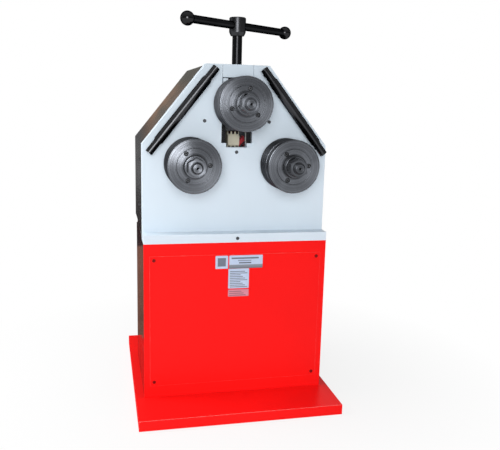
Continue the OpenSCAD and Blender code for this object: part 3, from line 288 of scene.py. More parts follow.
class Finish(Nodes):
    """One procedural material while it is being built."""

    def __init__(self, name):
        self.material = bpy.data.materials.new(name)
        self.material.use_nodes = True
        super().__init__(self.material.node_tree)
        self.tree.nodes.clear()
        self.output = self.node("ShaderNodeOutputMaterial").inputs["Surface"]
        self.shader = self.node("ShaderNodeBsdfPrincipled")
        self.feed(self.output, self.shader.outputs["BSDF"])
        self.place = self.node("ShaderNodeTexCoord").outputs["Object"]

    def surface(self, **values):
        """Sets the shader's own sockets; underscores stand for spaces."""
        for key, value in values.items():
            if key.endswith("Color") and not isinstance(value, bpy.types.NodeSocket):
                value = (*value, 1)
            self.feed(self.shader.inputs[key.replace("_", " ")], value)

    def noise(self, scale, detail=2.0, stretch=None):
        """Noise of about 1 / scale metres, drawn out along an axis by stretch."""
        place = self.place
        if stretch:
            place = self.vector("MULTIPLY", place, stretch)
        made = self.node("ShaderNodeTexNoise", {"Vector": place, "Scale": scale, "Detail": detail})
        return made.outputs["Fac"]

    def line_noise(self, along, scale, detail=3.0):
        made = self.node(
            "ShaderNodeTexNoise", {"W": along, "Scale": scale, "Detail": detail}, noise_dimensions="1D")
        return made.outputs["Fac"]

    def bump(self, height, strength, distance, under=None):
        inputs = {"Height": height, "Strength": strength, "Distance": distance}
        if under:
            inputs["Normal"] = under
        return self.node("ShaderNodeBump", inputs).outputs["Normal"]

    def shades(self, share, base, dark, light):
        """A colour that drifts between two tints of a base."""
        return self.mix(share, tinted(base, dark), tinted(base, light))

    def edges(self, scale):
        """Worn stretches along the rounded edges, from 0 to 1."""
        mark = self.node("ShaderNodeAttribute", attribute_name=EDGE_MARK).outputs["Fac"]
        return self.times(mark, self.spread(self.noise(scale, 4), 0.48, 0.72))


def tinted(base, factor):
    return tuple(min(1.0, channel * factor) for channel in base)


def paint(name, base, rough, worn, shine=0.3):
    """Powder coat: faint clouding, orange peel, dull scuffs and thin paint along the edges."""
    finish = Finish(name)
    clouds = finish.spread(finish.noise(2.6, 3), 0.3, 0.7)
    body = finish.shades(clouds, base, 0.955, 1.02)
    specks = finish.spread(finish.noise(420, 1), 0.72, 0.80, 0, 0.35)
    body = finish.mix(specks, body, tinted(base, 0.86))
    body = finish.mix(finish.edges(55), body, worn)
    scuffs = finish.spread(finish.noise(34, 5, (1.0, 1.0, 0.16)), 0.58, 0.78, 0, 0.14)
    smears = finish.spread(finish.noise(5, 4), 0.35, 0.75, rough - 0.04, rough + 0.05)
    peel = finish.bump(finish.noise(330, 2), 0.10, 0.4 * MM)
    dents = finish.bump(finish.noise(7, 2), 0.05, 1.2 * MM, peel)
    finish.surface(
        Base_Color=body, Roughness=finish.math("ADD", smears, scuffs), Normal=dents,
        Specular_IOR_Level=shine)
    return finish.material


def turned(name, base, centre, shaded_seams=(), rough=0.3, cone=0.0, sheen=0.75):
    """Lathe-turned steel: rings about the axis, a radial sheen, oily smudges and a thin dark line of painted
    shade along each seam.

    The cone is the slope of a face that falls away from its centre, the sheen is how far light is
    drawn out.
    """
    finish = Finish(name)
    offset = finish.vector("SUBTRACT", finish.place, (centre[0], 0, centre[1]))
    radius = finish.vector("LENGTH", finish.vector("MULTIPLY", offset, (1, 0, 1)), (0, 0, 0), "Value")
    depth = finish.node("ShaderNodeSeparateXYZ", {0: finish.place}).outputs["Y"]
    along = finish.math("ADD", radius, depth)
    rings = finish.line_noise(along, 190, 5)
    fine = finish.line_noise(along, 1500, 2)
    smudge = finish.spread(finish.noise(26, 4), 0.38, 0.68)
    body = finish.shades(finish.spread(rings, 0.3, 0.7), base, 0.62, 1.42)
    body = finish.mix(finish.times(smudge, 0.35), body, tinted(base, 0.6))
    body = finish.mix(finish.edges(140), body, tinted(base, 1.3))
    # Each seam gets a thin dark line, painted shade where two parts meet
    for seam in shaded_seams:
        away = finish.math("ABSOLUTE", finish.math("SUBTRACT", radius, seam))
        body = finish.mix(finish.spread(away, 0.3 * MM, 1.0 * MM, 0.7, 0.0), body, tinted(base, 0.1))
    dull = finish.spread(smudge, 0, 1, rough - 0.02, rough + 0.05)
    slope = finish.bump(finish.math("SUBTRACT", 0.0, radius), 1.0, cone) if cone else None
    relief = finish.math("ADD", rings, finish.times(fine, 0.5))
    grooves = finish.bump(relief, 0.10, 0.2 * MM, slope)
    tangent = finish.node("ShaderNodeTangent", direction_type="RADIAL", axis="Y").outputs["Tangent"]
    finish.surface(
        Base_Color=body, Metallic=1.0, Roughness=dull, Normal=grooves,
        Specular_Tint=(0.25, 0.25, 0.25, 1), Anisotropic=sheen, Anisotropic_Rotation=0.25,
        Tangent=tangent)
    return finish.material


def metal(name, base, rough, grain=(1, 1, 1)):
    """Bare or plated metal with drawn grain, stains and bright edges."""
    finish = Finish(name)
    lines = finish.noise(160, 4, grain)
    stains = finish.spread(finish.noise(18, 4), 0.40, 0.70)
    body = finish.shades(finish.spread(lines, 0.3, 0.7), base, 0.82, 1.15)
    body = finish.mix(finish.times(stains, 0.30), body, tinted(base, 0.60))
    body = finish.mix(finish.edges(160), body, tinted(base, 1.9))
    finish.surface(
        Base_Color=body, Metallic=1.0, Roughness=finish.spread(stains, 0, 1, rough, rough + 0.14),
        Normal=finish.bump(lines, 0.12, 0.2 * MM))
    return finish.material


def black_oxide(name, base, rough=0.27):
    """Blackened steel: deep black with an oily gloss, paler where it is rubbed."""
    finish = Finish(name)
    rubbed = finish.spread(finish.noise(16, 3), 0.46, 0.75)
    body = finish.mix(finish.times(rubbed, 0.4), base, tinted(base, 1.5))
    body = finish.mix(finish.edges(120), body, tinted(base, 3.5))
    dull = finish.spread(finish.noise(40, 3), 0.3, 0.7, rough - 0.04, rough + 0.05)
    finish.surface(
        Base_Color=body, Metallic=1.0, Roughness=dull, Specular_Tint=(0.15, 0.15, 0.15, 1),
        Normal=finish.bump(finish.noise(120, 2), 0.02, 0.1 * MM))
    return finish.material


def moulded(name, base, rough, shine=0.5):
    """Moulded plastic: fine spark grain, slight clouding and rubbed edges."""
    finish = Finish(name)
    clouds = finish.spread(finish.noise(22, 3), 0.3, 0.7)
    body = finish.shades(clouds, base, 0.93, 1.04)
    body = finish.mix(finish.edges(130), body, tinted(base, 1.25))
    dull = finish.spread(finish.noise(60, 3), 0.3, 0.7, rough - 0.05, rough + 0.06)
    finish.surface(
        Base_Color=body, Roughness=dull, Normal=finish.bump(finish.noise(700, 2), 0.10, 0.2 * MM),
        Specular_IOR_Level=shine)
    return finish.material


def casting(name, base):
    """Painted casting with a sandy skin."""
    finish = Finish(name)
    sand = finish.noise(260, 5)
    body = finish.shades(finish.spread(sand, 0.3, 0.7), base, 0.8, 1.15)
    body = finish.mix(finish.edges(80), body, tinted(base, 2.2))
    finish.surface(
        Base_Color=body, Roughness=finish.spread(sand, 0.3, 0.7, 0.48, 0.62),
        Normal=finish.bump(sand, 0.35, 0.5 * MM))
    return finish.material


def label_face(name, base, low, high, marks, band=None):
    """A plate without words: a thin border, an optional foot band, and marks in shares of its face.

    Marks are (left, bottom, right, top, colour, strength).
    """
    finish = Finish(name)
    split = finish.node("ShaderNodeSeparateXYZ", {0: finish.place})
    across = finish.spread(split.outputs["X"], low[0], high[0])
    up = finish.spread(split.outputs["Z"], low[2], high[2])
    fade = finish.spread(finish.noise(60, 3), 0.3, 0.7)
    body = finish.shades(fade, base, 0.95, 1.03)
    if band:
        tone = finish.mix(finish.spread(up, 0.0, 0.3), band, tinted(band, 1.7))
        body = finish.mix(finish.math("LESS_THAN", up, 0.29), body, tone)
    for left, bottom, right, top, tone, strength in marks:
        inside = finish.times(finish.within(across, left, right), finish.within(up, bottom, top))
        body = finish.mix(finish.times(inside, strength), body, tone)
    border = 0.9 * MM
    for value, length in ((across, high[0] - low[0]), (up, high[2] - low[2])):
        reach = finish.math("ABSOLUTE", finish.math("SUBTRACT", value, 0.5))
        rim = finish.math("GREATER_THAN", reach, 0.5 - border / length)
        body = finish.mix(finish.times(rim, 0.3), body, INK)
    finish.surface(
        Base_Color=body, Roughness=finish.spread(fade, 0, 1, 0.30, 0.42),
        Normal=finish.bump(finish.noise(240, 2), 0.06, 0.2 * MM), Specular_IOR_Level=0.2)
    return finish.material


def bars(left, right, bottom, top, count, strength):
    """Plain grey bars of uneven length, one above the other."""
    pitch = (top - bottom) / count
    made = []
    for index in range(count):
        end = right - (right - left) * 0.13 * ((index * 5) % 4)
        foot = bottom + index * pitch
        made.append((left, foot, end, foot + 0.45 * pitch, INK, strength))
    return made


def link(data, name):
    """A new object in the scene for a mesh, a lamp or a camera."""
    made = bpy.data.objects.new(name, data)
    bpy.context.scene.collection.objects.link(made)
    return made


def smooth(mesh):
    mesh.polygons.foreach_set("use_smooth", [True] * len(mesh.polygons))


def shade(mesh):
    """Smooth shading that breaks at sharp edges."""
    smooth(mesh)
    mesh.set_sharp_from_angle(angle=SHARP_ANGLE)


def baked(model, name, *materials):
    """Turns a bmesh into a mesh with its materials and frees it."""
    mesh = bpy.data.meshes.new(name)
    model.to_mesh(mesh)
    model.free()
    for material in materials:
        mesh.materials.append(material)
    return mesh


def dress(piece, material, test):
    """Gives the faces that pass a test a further material."""
    index = len(piece.data.materials)
    piece.data.materials.append(material)
    for face in piece.data.polygons:
        if test(face):
            face.material_index = index
    return piece


def solid_mesh(node):
    """A merged copy of a node's mesh whose flat faces are whole again."""
    model = bmesh.new()
    model.from_mesh(frame["nodes"][node].data)
    bmesh.ops.remove_doubles(model, verts=model.verts, dist=MERGE_DISTANCE)
    bmesh.ops.dissolve_limit(model, angle_limit=FLAT_ANGLE, verts=model.verts, edges=model.edges)
    return model


def rounded(node, material, width, bends=(), slot=None, edge=None, cuts=()):
    """Replaces a node by a copy with rounded edges, which may have their own material.

    Bends are (test of an edge's ends, radius) pairs, cuts are depths at which the faces are divided.
    """
    model = solid_mesh(node)
    for depth in cuts:
        parts = [*model.verts, *model.edges, *model.faces]
        bmesh.ops.bisect_plane(model, geom=parts, plane_co=(0, depth, 0), plane_no=(0, 1, 0))
    widest = max([width, *(radius for _, radius in bends)])
    weights = model.edges.layers.float.new("bevel_weight_edge")
    for line in model.edges:
        if len(line.link_faces) != 2 or line.calc_face_angle(0) < SHARP_ANGLE:
            continue
        ends = [vertex.co for vertex in line.verts]
        radius = next((radius for test, radius in bends if all(map(test, ends))), width)
        line[weights] = radius / widest
    blank = link(baked(model, node + "_finished", material, edge or material), node + "_blank")
    bevel = blank.modifiers.new("Round", "BEVEL")
    bevel.limit_method = "WEIGHT"
    bevel.width = widest
    bevel.segments = sizes().bevel_steps
    bevel.miter_outer = "MITER_ARC"
    bevel.material = 1
    blank.modifiers.new("Flat faces", "WEIGHTED_NORMAL").keep_sharp = True
    piece = settle(blank, node + "_finished")
    shown = piece.data
    marks = [float(face.material_index) for face in shown.polygons]
    shown.attributes.new(EDGE_MARK, "FLOAT", "FACE").data.foreach_set("value", marks)
    if not edge:
        shown.polygons.foreach_set("material_index", [0] * len(marks))
        shown.materials.pop()
    return seat(piece, frame["nodes"][node]["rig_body"], slot or slot_of(node), node)


def settle(source, name):
    """Turns an object with live modifiers into a plain mesh object and removes the source."""
    smooth(source.data)
    seen = source.evaluated_get(bpy.context.evaluated_depsgraph_get())
    mesh = bpy.data.meshes.new_from_object(seen)
    mesh.name = name
    bpy.data.objects.remove(source)
    return link(mesh, name)


def middle_of(node):
    """Centre of a node's box."""
    low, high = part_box(node)
    return (low + high) / 2


def half_width(node):
    low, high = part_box(node)
    return (high.x - low.x) / 2


def slot_of(node):
    return next(part["material_slot"] for part in frame["record"]["subparts"] if part["node"] == node)


def seat(piece, body, slot, *nodes):
    """Lets a piece ride on a body and hides the nodes that it stands for; its slot is not used."""
    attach(piece, body)
    if nodes:
        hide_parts(*nodes)
    return piece


def coat(node, material):
    """Gives a node that stays as it is a better material."""
    slots = frame["nodes"][node].data.materials
    slots.clear()
    slots.append(material)


def islands(node):
    """Lowest and highest corner of each separate solid in a node."""
    model = solid_mesh(node)
    left = set(model.verts)
    found = []
    while left:
        group, queue = set(), [left.pop()]
        while queue:
            vertex = queue.pop()
            group.add(vertex)
            near = {edge.other_vert(vertex) for edge in vertex.link_edges} & left
            left -= near
            queue.extend(near)
        corners = [vertex.co for vertex in group]
        low = Vector(map(min, zip(*corners)))
        high = Vector(map(max, zip(*corners)))
        found.append((low, high))
    model.free()
    return sorted(found, key=lambda pair: tuple(round(value, 5) for value in pair[0]))


class NodeTree(Nodes):
    """A Geometry Nodes tree with named inputs, while it is being built."""

    def __init__(self, name, inputs):
        super().__init__(bpy.data.node_groups.new(name, "GeometryNodeTree"))
        self.socket("Geometry", "INPUT", "NodeSocketGeometry")
        for label, kind in inputs.items():
            self.socket(label, "INPUT", "NodeSocket" + kind)
        self.socket("Geometry", "OUTPUT", "NodeSocketGeometry")
        self.inputs = self.node("NodeGroupInput").outputs
        self.output = self.node("NodeGroupOutput").inputs[0]

    def socket(self, label, side, kind):
        self.tree.interface.new_socket(label, in_out=side, socket_type=kind)

    def shape(self, kind, inputs, **settings):
        """Adds a node and returns the shape that it makes."""
        return self.node(kind, inputs, **settings).outputs[0]

    def join(self, *shapes):
        return self.shape("GeometryNodeJoinGeometry", {"Geometry": list(shapes)})

    def drum(self, sides, bottom, top, height):
        """A drum that may taper, with its foot at the origin."""
        return self.shape("GeometryNodeMeshCone", {
            "Vertices": sides, "Radius Top": top, "Radius Bottom": bottom, "Depth": height})

    def raised(self, geometry, height):
        """Moves a shape up by height."""
        shift = self.node("ShaderNodeCombineXYZ", {"Z": height}).outputs[0]
        return self.shape("GeometryNodeTransform", {"Geometry": geometry, "Translation": shift})

    def finish(self, geometry):
        """Ends the tree in real geometry with its material."""
        real = self.shape("GeometryNodeRealizeInstances", {"Geometry": geometry})
        dressed = self.shape("GeometryNodeSetMaterial", {
            "Geometry": real, "Material": self.inputs["Finish"]})
        self.feed(self.output, dressed)
        return self.tree


def grown(mesh, tree, values, name):
    """Runs a tree on a mesh and returns its result as a plain object."""
    source = link(mesh, name + "_source")
    modifier = source.modifiers.new(tree.name, "NODES")
    modifier.node_group = tree
    for item in tree.interface.items_tree:
        if item.in_out == "INPUT" and item.name in values:
            modifier[item.identifier] = values[item.name]
    made = settle(source, name)
    shade(made.data)
    return made


def points_mesh(name, places, aims):
    """Loose points that each carry the direction they face."""
    mesh = bpy.data.meshes.new(name)
    mesh.from_pydata(places, [], [])
    aim = mesh.attributes.new("aim", "FLOAT_VECTOR", "POINT")
    aim.data.foreach_set("vector", [value for vector in aims for value in vector])
    return mesh


def placed(tree, shape):
    """Copies of a shape on the tree's points, each turned so that its Z follows the point's aim."""
    aim = tree.node("GeometryNodeInputNamedAttribute", {"Name": "aim"}, data_type="FLOAT_VECTOR")
    turn = tree.node("FunctionNodeAlignRotationToVector", {"Vector": aim.outputs[0]}, axis="Z")
    return tree.shape("GeometryNodeInstanceOnPoints", {
        "Points": tree.inputs["Geometry"], "Instance": shape, "Rotation": turn.outputs[0]})


def screw_tree():
    """Button-head socket screws on washers, one on each point."""
    tree = NodeTree("Socket screws", {
        "Head": "Float", "Rise": "Float", "Socket": "Float", "Washer": "Float", "Washer rise": "Float",
        "Finish": "Material"})
    head, rise = tree.inputs["Head"], tree.inputs["Rise"]
    half = tree.times(head, 0.5)
    drum_rise = tree.times(rise, 0.62)
    crown_rise = tree.math("SUBTRACT", rise, drum_rise)
    drum = tree.drum(40, half, half, drum_rise)
    crown = tree.drum(40, half, tree.times(half, 0.74), crown_rise)
    body = tree.join(drum, tree.raised(crown, drum_rise))
    body = tree.shape("GeometryNodeMergeByDistance", {"Geometry": body, "Distance": 1e-5})
    socket_half = tree.math("DIVIDE", tree.inputs["Socket"], 2 * math.cos(math.pi / 6))
    key = tree.drum(6, socket_half, socket_half, rise)
    key = tree.raised(key, tree.times(rise, 0.45))
    cut = tree.shape("GeometryNodeMeshBoolean", {"Mesh 1": body, "Mesh 2": key}, operation="DIFFERENCE")
    ring = tree.times(tree.inputs["Washer"], 0.5)
    washer = tree.drum(40, ring, tree.times(ring, 0.97), tree.inputs["Washer rise"])
    return tree.finish(placed(tree, tree.join(cut, washer)))


def louvre_tree():
    """Tilted slats behind the vent slots, one on each point."""
    tree = NodeTree("Louvres", {
        "Length": "Float", "Depth": "Float", "Thickness": "Float", "Finish": "Material"})
    edges = tree.node("ShaderNodeCombineXYZ", {
        "X": tree.inputs["Length"], "Y": tree.inputs["Thickness"], "Z": tree.inputs["Depth"]}).outputs[0]
    slat = tree.shape("GeometryNodeMeshCube", {
        "Size": edges, "Vertices X": 2, "Vertices Y": 2, "Vertices Z": 2})
    return tree.finish(placed(tree, slat))


def wire_tree():
    """Round wires with rounded bends along the edges of a mesh."""
    tree = NodeTree("Wires", {"Diameter": "Float", "Bend": "Float", "Finish": "Material"})
    path = tree.shape("GeometryNodeMeshToCurve", {"Mesh": tree.inputs["Geometry"]})
    soft = tree.shape("GeometryNodeFilletCurve", {
        "Curve": path, "Count": 6, "Radius": tree.inputs["Bend"], "Limit Radius": True}, mode="POLY")
    ring = tree.shape("GeometryNodeCurvePrimitiveCircle", {
        "Resolution": 14, "Radius": tree.times(tree.inputs["Diameter"], 0.5)})
    return tree.finish(tree.shape("GeometryNodeCurveToMesh", {
        "Curve": soft, "Profile Curve": ring, "Fill Caps": True}))


class BENDER_OT_pedestal(bpy.types.Operator):
    """Base tray and the sheets of the pedestal, with their bends"""
    bl_idname = "bender.pedestal"
    bl_label = "Base and Pedestal"

    def execute(self, context):
        look, cut = finishes(), sizes()
        red = paint("red_paint", look.red, rough=0.34, worn=(0.97, 0.06, 0.055), shine=0.06)
        # The tray's bends get a pale coat, a painted highlight along them; their shine and roughness are
        # real gloss
        bend = paint("red_bend", look.red_bend, rough=0.24, worn=(0.98, 0.62, 0.60), shine=0.6)
        # The access panel's rounded edges get a paler red, a painted highlight along them
        seam = paint("red_seam", look.red_seam, rough=0.30, worn=(0.97, 0.32, 0.30))
        # Dark red-brown side panels: painted shade on the pedestal's sides
        side = paint("side_paint", look.side, rough=0.10, worn=(0.10, 0.05, 0.04), shine=0.5)
        low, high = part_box("base_tray")
        on_wall = lambda p: min(p.x - low.x, high.x - p.x, p.y - low.y, high.y - p.y) < MM
        rounded("base_tray", red, cut.sheet_edge, [(on_wall, cut.tray_bend * 0.85)], edge=bend)
        front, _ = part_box("pedestal_front")
        corner = lambda p: abs(abs(p.x) - abs(front.x)) < MM and p.y - front.y < MM
        rounded("pedestal_front", red, cut.sheet_edge, [(corner, cut.sheet_bend)])
        for node in ("left_side_panel", "right_side_panel"):
            rounded(node, side, cut.sheet_edge)
        coat("pedestal_back_panel", red)
        rounded("front_access_panel", red, cut.machined_edge, edge=seam)
        coat("pedestal_frame", red)
        self.louvres(red)
        return {"FINISHED"}

    def louvres(self, red):
        """A slat behind each vent slot, found from the panel's edges along the slots."""
        slot_height, least_length = 7 * MM, 50 * MM
        panel_low, panel_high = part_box("pedestal_back_panel")
        model = solid_mesh("pedestal_back_panel")
        slots = set()
        for edge in model.edges:
            first, second = (vertex.co for vertex in edge.verts)
            flat = max(abs(first.z - second.z), abs(first.y - second.y)) < MERGE_DISTANCE
            inner = panel_low.z + MM < first.z < panel_high.z - MM
            length = edge.calc_length()
            if flat and inner and edge.calc_face_angle(0) > SHARP_ANGLE and length > least_length:
                slots.add((round(first.x + second.x, 4) / 2, round(first.z, 4), round(length, 4)))
        model.free()
        tops = [(x, z, length) for x, z, length in sorted(slots)
                if (x, round(z + slot_height, 4), length) not in slots]
        depth = sizes().louvre_depth
        thickness = 1.2 * MM
        tilt = Vector((0, -0.8, 0.6))
        behind = panel_low.y - 0.45 * depth
        places = [(x, behind, z - 0.2 * depth) for x, z, _ in tops]
        mesh = points_mesh("louvre_points", places, [tilt] * len(places))
        slats = grown(mesh, louvre_tree(), {
            "Length": tops[0][2] + 8 * MM, "Depth": depth, "Thickness": thickness,
            "Finish": red}, "vent_louvres")
        seat(slats, "frame", "red_paint")


class BENDER_OT_head(bpy.types.Operator):
    """Front cover, wrap cover, back cover and bridge block of the head"""
    bl_idname = "bender.head"
    bl_label = "Head Covers"

    def execute(self, context):
        look, cut = finishes(), sizes()
        white = paint("white_paint", look.white, rough=0.36, worn=(0.80, 0.86, 0.92))
        low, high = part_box("head_front_cover")
        graphite = paint("graphite_paint", look.graphite, rough=0.16, worn=(0.10, 0.09, 0.085), shine=0.5)
        block_low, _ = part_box("bridge_block")
        bend = lambda p: (abs(p.y - low.y) < MM or abs(p.y - block_low.y) < MM) and outline(p, low, high)
        rounded("head_front_cover", white, cut.sheet_edge, [(bend, cut.sheet_bend)])
        wrap_low, wrap_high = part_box("head_wrap_cover")
        fold = lambda p: outline(p, wrap_low, wrap_high)
        # The wrap cover is divided into a dark band, a pale strip and a thinner dark band: painted shade and
        # painted highlight
        steps = 0, cut.gap_shade, cut.gap_shade + cut.edge_light, 1.4 * cut.gap_shade + cut.edge_light
        depths = [high.y + step for step in steps]
        wrap = rounded(
            "head_wrap_cover", graphite, cut.sheet_edge, [(fold, cut.sheet_bend * 0.8)], cuts=depths)
        self.edge_light(wrap, depths)
        rounded("head_back_cover", graphite, cut.sheet_edge)
        rounded("bridge_block", white, cut.machined_edge * 1.4)
        coat("frame_front_plate", white)
        return {"FINISHED"}

    def edge_light(self, wrap, depths):
        """Bands of painted shade and painted highlight around the wrap cover's front edge: a dull dark band,
        a pale strip and a thinner dark band.
        """
        gap_shade = moulded("wrap_gasket", finishes().gap_shade, rough=0.6, shine=0.0)
        pale = moulded("wrap_trim", finishes().edge_light, rough=0.5, shine=0.0)
        front, middle, rear = (
            lambda face, near=near, far=far: near < face.center.y < far
            for near, far in zip(depths, depths[1:]))
        dress(wrap, gap_shade, lambda face: front(face) or rear(face))
        dress(wrap, pale, middle)


def outline(point, low, high):
    """True on the outer skin of a head cover: its sides, its top, its chamfers or its foot."""
    foot = 50 * MM
    if abs(abs(point.x) - high.x) < MM or high.z - point.z < MM:
        return True
    return point.z < low.z + foot and abs(point.x) > half_width("bridge_block")


class BENDER_OT_rollers(bpy.types.Operator):
    """Rings, clamp discs, nuts and shafts of the three rollers"""
    bl_idname = "bender.rollers"
    bl_label = "Rollers"

    def execute(self, context):
        look, cut = finishes(), sizes()
        # Black for the walls of holes: painted shade in them
        black = black_oxide("hole_black", look.black, rough=0.5)
        zinc = metal("clamp_zinc", tinted(look.zinc, 1.2), rough=0.28)
        for side, rough, cone, rim_painted_light, nut_painted_light in ROLLER_LOOKS:
            centre = middle_of(side + "_front_ring").xz
            # The seams lie where the clamp disc and the nut meet the rings; each gets a dark line of painted
            # shade
            shaded_seams = half_width(side + "_clamp_disc"), half_width(side + "_roller_nut") + 0.5 * MM
            ring = turned(side + "_roller_steel", look.steel, centre, shaded_seams, rough, cone)
            # Each roller's nut and rims get their own tint of the same steel: painted light and shade
            plain = turned(side + "_nut_steel", tinted(look.steel, nut_painted_light), centre, rough=rough)
            rim = turned(
                side + "_rim_steel", tinted(look.steel, rim_painted_light), centre, rough=0.46, sheen=1.0)
            around = lambda face: abs(face.normal.y) < 0.9
            for part in ("_rear_ring", "_spacer_ring", "_front_ring"):
                dress(rounded(side + part, ring, cut.ring_edge), rim, around)
            disc = dress(rounded(side + "_clamp_disc", ring, cut.machined_edge * 0.8), rim, around)
            self.screws(disc, side + "_clamp_disc", black, zinc)
            dress(rounded(side + "_roller_nut", plain, cut.machined_edge), rim, around)
            shaft = dress(rounded(side + "_shaft", plain, cut.machined_edge), rim, around)
            self.centre_hole(shaft, centre, black)
        return {"FINISHED"}

    def centre_hole(self, shaft, centre, black):
        """Paints the wall of the centre hole in a shaft's nose black, as painted shade in the hole."""
        reach, skin, depth = 3.4 * MM, 0.2 * MM, 20 * MM
        front = min(vertex.co.y for vertex in shaft.data.vertices)

        def in_hole(face):
            away = math.hypot(face.center.x - centre[0], face.center.z - centre[1])
            return away < reach and front + skin < face.center.y < front + depth

        dress(shaft, black, in_hole)

    def screws(self, disc, node, black, zinc):
        """Gives the sunk screws a plated face, and paints the walls of their holes black as painted shade.
        """
        bore, skin, rim = 2.6 * MM, 0.3 * MM, 0.1 * MM
        solids = islands(node)
        plate = max(solids, key=lambda pair: pair[1].x - pair[0].x)
        heads = [((low + high) / 2, (high.x - low.x) / 2, low.y)
                 for low, high in solids if high.x - low.x < plate[1].x - plate[0].x]

        def away(face, middle):
            return math.hypot(face.center.x - middle.x, face.center.z - middle.z)

        def sunk(face):
            return face.center.y > plate[0].y + skin and any(
                away(face, middle) < reach + bore for middle, reach, _ in heads)

        def top(face):
            return any(away(face, middle) < reach - rim and abs(face.center.y - front) < skin
                       for middle, reach, front in heads)

        dress(disc, zinc, sunk)
        dress(disc, black, lambda face: sunk(face) and not top(face))


class BENDER_OT_support_bars(bpy.types.Operator):
    """The two support bars along the chamfers"""
    bl_idname = "bender.support_bars"
    bl_label = "Support Bars"

    def execute(self, context):
        # A lighter copy of the black oxide: painted light that brightens the bars' highlights
        black = black_oxide("support_black", tinted(finishes().black, 2.5), rough=0.22)
        for side in ("left", "right"):
            rounded(side + "_support_rod", black, sizes().machined_edge)
            rounded(side + "_support_sleeve", black, sizes().machined_edge)
        return {"FINISHED"}


class BENDER_OT_handle(bpy.types.Operator):
    """Adjusting screw, hub, cross bar and ball knobs"""
    bl_idname = "bender.handle"
    bl_label = "Handle"

    def execute(self, context):
        look, cut = finishes(), sizes()
        black = black_oxide("handle_black", look.black)
        rounded("adjusting_screw", black, cut.machined_edge)
        # The hub's black oxide is tinted lighter than the handle's: painted light that brightens its
        # highlight
        hub_black = black_oxide("hub_black", tinted(look.black, 2.4), rough=0.29)
        rounded("handle_hub", hub_black, cut.machined_edge * 1.6)
        rounded("handle_bar", black, cut.machined_edge)
        self.knobs(black_oxide("knob_lacquer", look.knob, rough=0.13))
        return {"FINISHED"}

    def knobs(self, lacquer):
        """Smooth balls with a short collar where the bar enters."""
        hub = middle_of("handle_hub")
        model = bmesh.new()
        for low, high in islands("ball_knobs"):
            centre = (low + high) / 2
            radius = (high.z - low.z) / 2
            inward = Vector((hub.x - centre.x, hub.y - centre.y, 0)).normalized()
            turn = inward.to_track_quat("Z", "Y").to_matrix().to_4x4()
            lathe(model, knob_profile(radius), 64, Matrix.Translation(centre) @ turn)
        mesh = baked(model, "ball_knobs_finished", lacquer)
        shade(mesh)
        seat(link(mesh, "ball_knobs_finished"), "handle", "black_knob", "ball_knobs")


def knob_profile(radius):
    """Radius and height pairs from the knob's far pole to its collar."""
    steps = 40
    neck = math.asin(min(1.0, sizes().collar / radius))
    ball = [(radius * math.sin(t), -radius * math.cos(t))
            for t in (i * (math.pi - neck) / steps for i in range(steps + 1))]
    rim, top = ball[-1]
    rise = sizes().collar_rise
    return ball + [(rim, top + 0.7 * rise), (rim - 0.3 * rise, top + rise), (0, top + rise)]


def lathe(model, profile, steps, matrix):
    """Adds a closed turned shape about Z to a bmesh."""
    rows = []
    for radius, height in profile:
        if radius < MERGE_DISTANCE:
            rows.append([model.verts.new(matrix @ Vector((0, 0, height)))])
            continue
        rows.append([
            model.verts.new(matrix @ Vector((radius * math.cos(t), radius * math.sin(t), height)))
            for t in (2 * math.pi * i / steps for i in range(steps))])
    for lower, upper in zip(rows, rows[1:]):
        for i in range(steps):
            j = (i + 1) % steps
            corners = [
                lower[i % len(lower)], lower[j % len(lower)], upper[j % len(upper)], upper[i % len(upper)]]
            model.faces.new(list(dict.fromkeys(corners)))


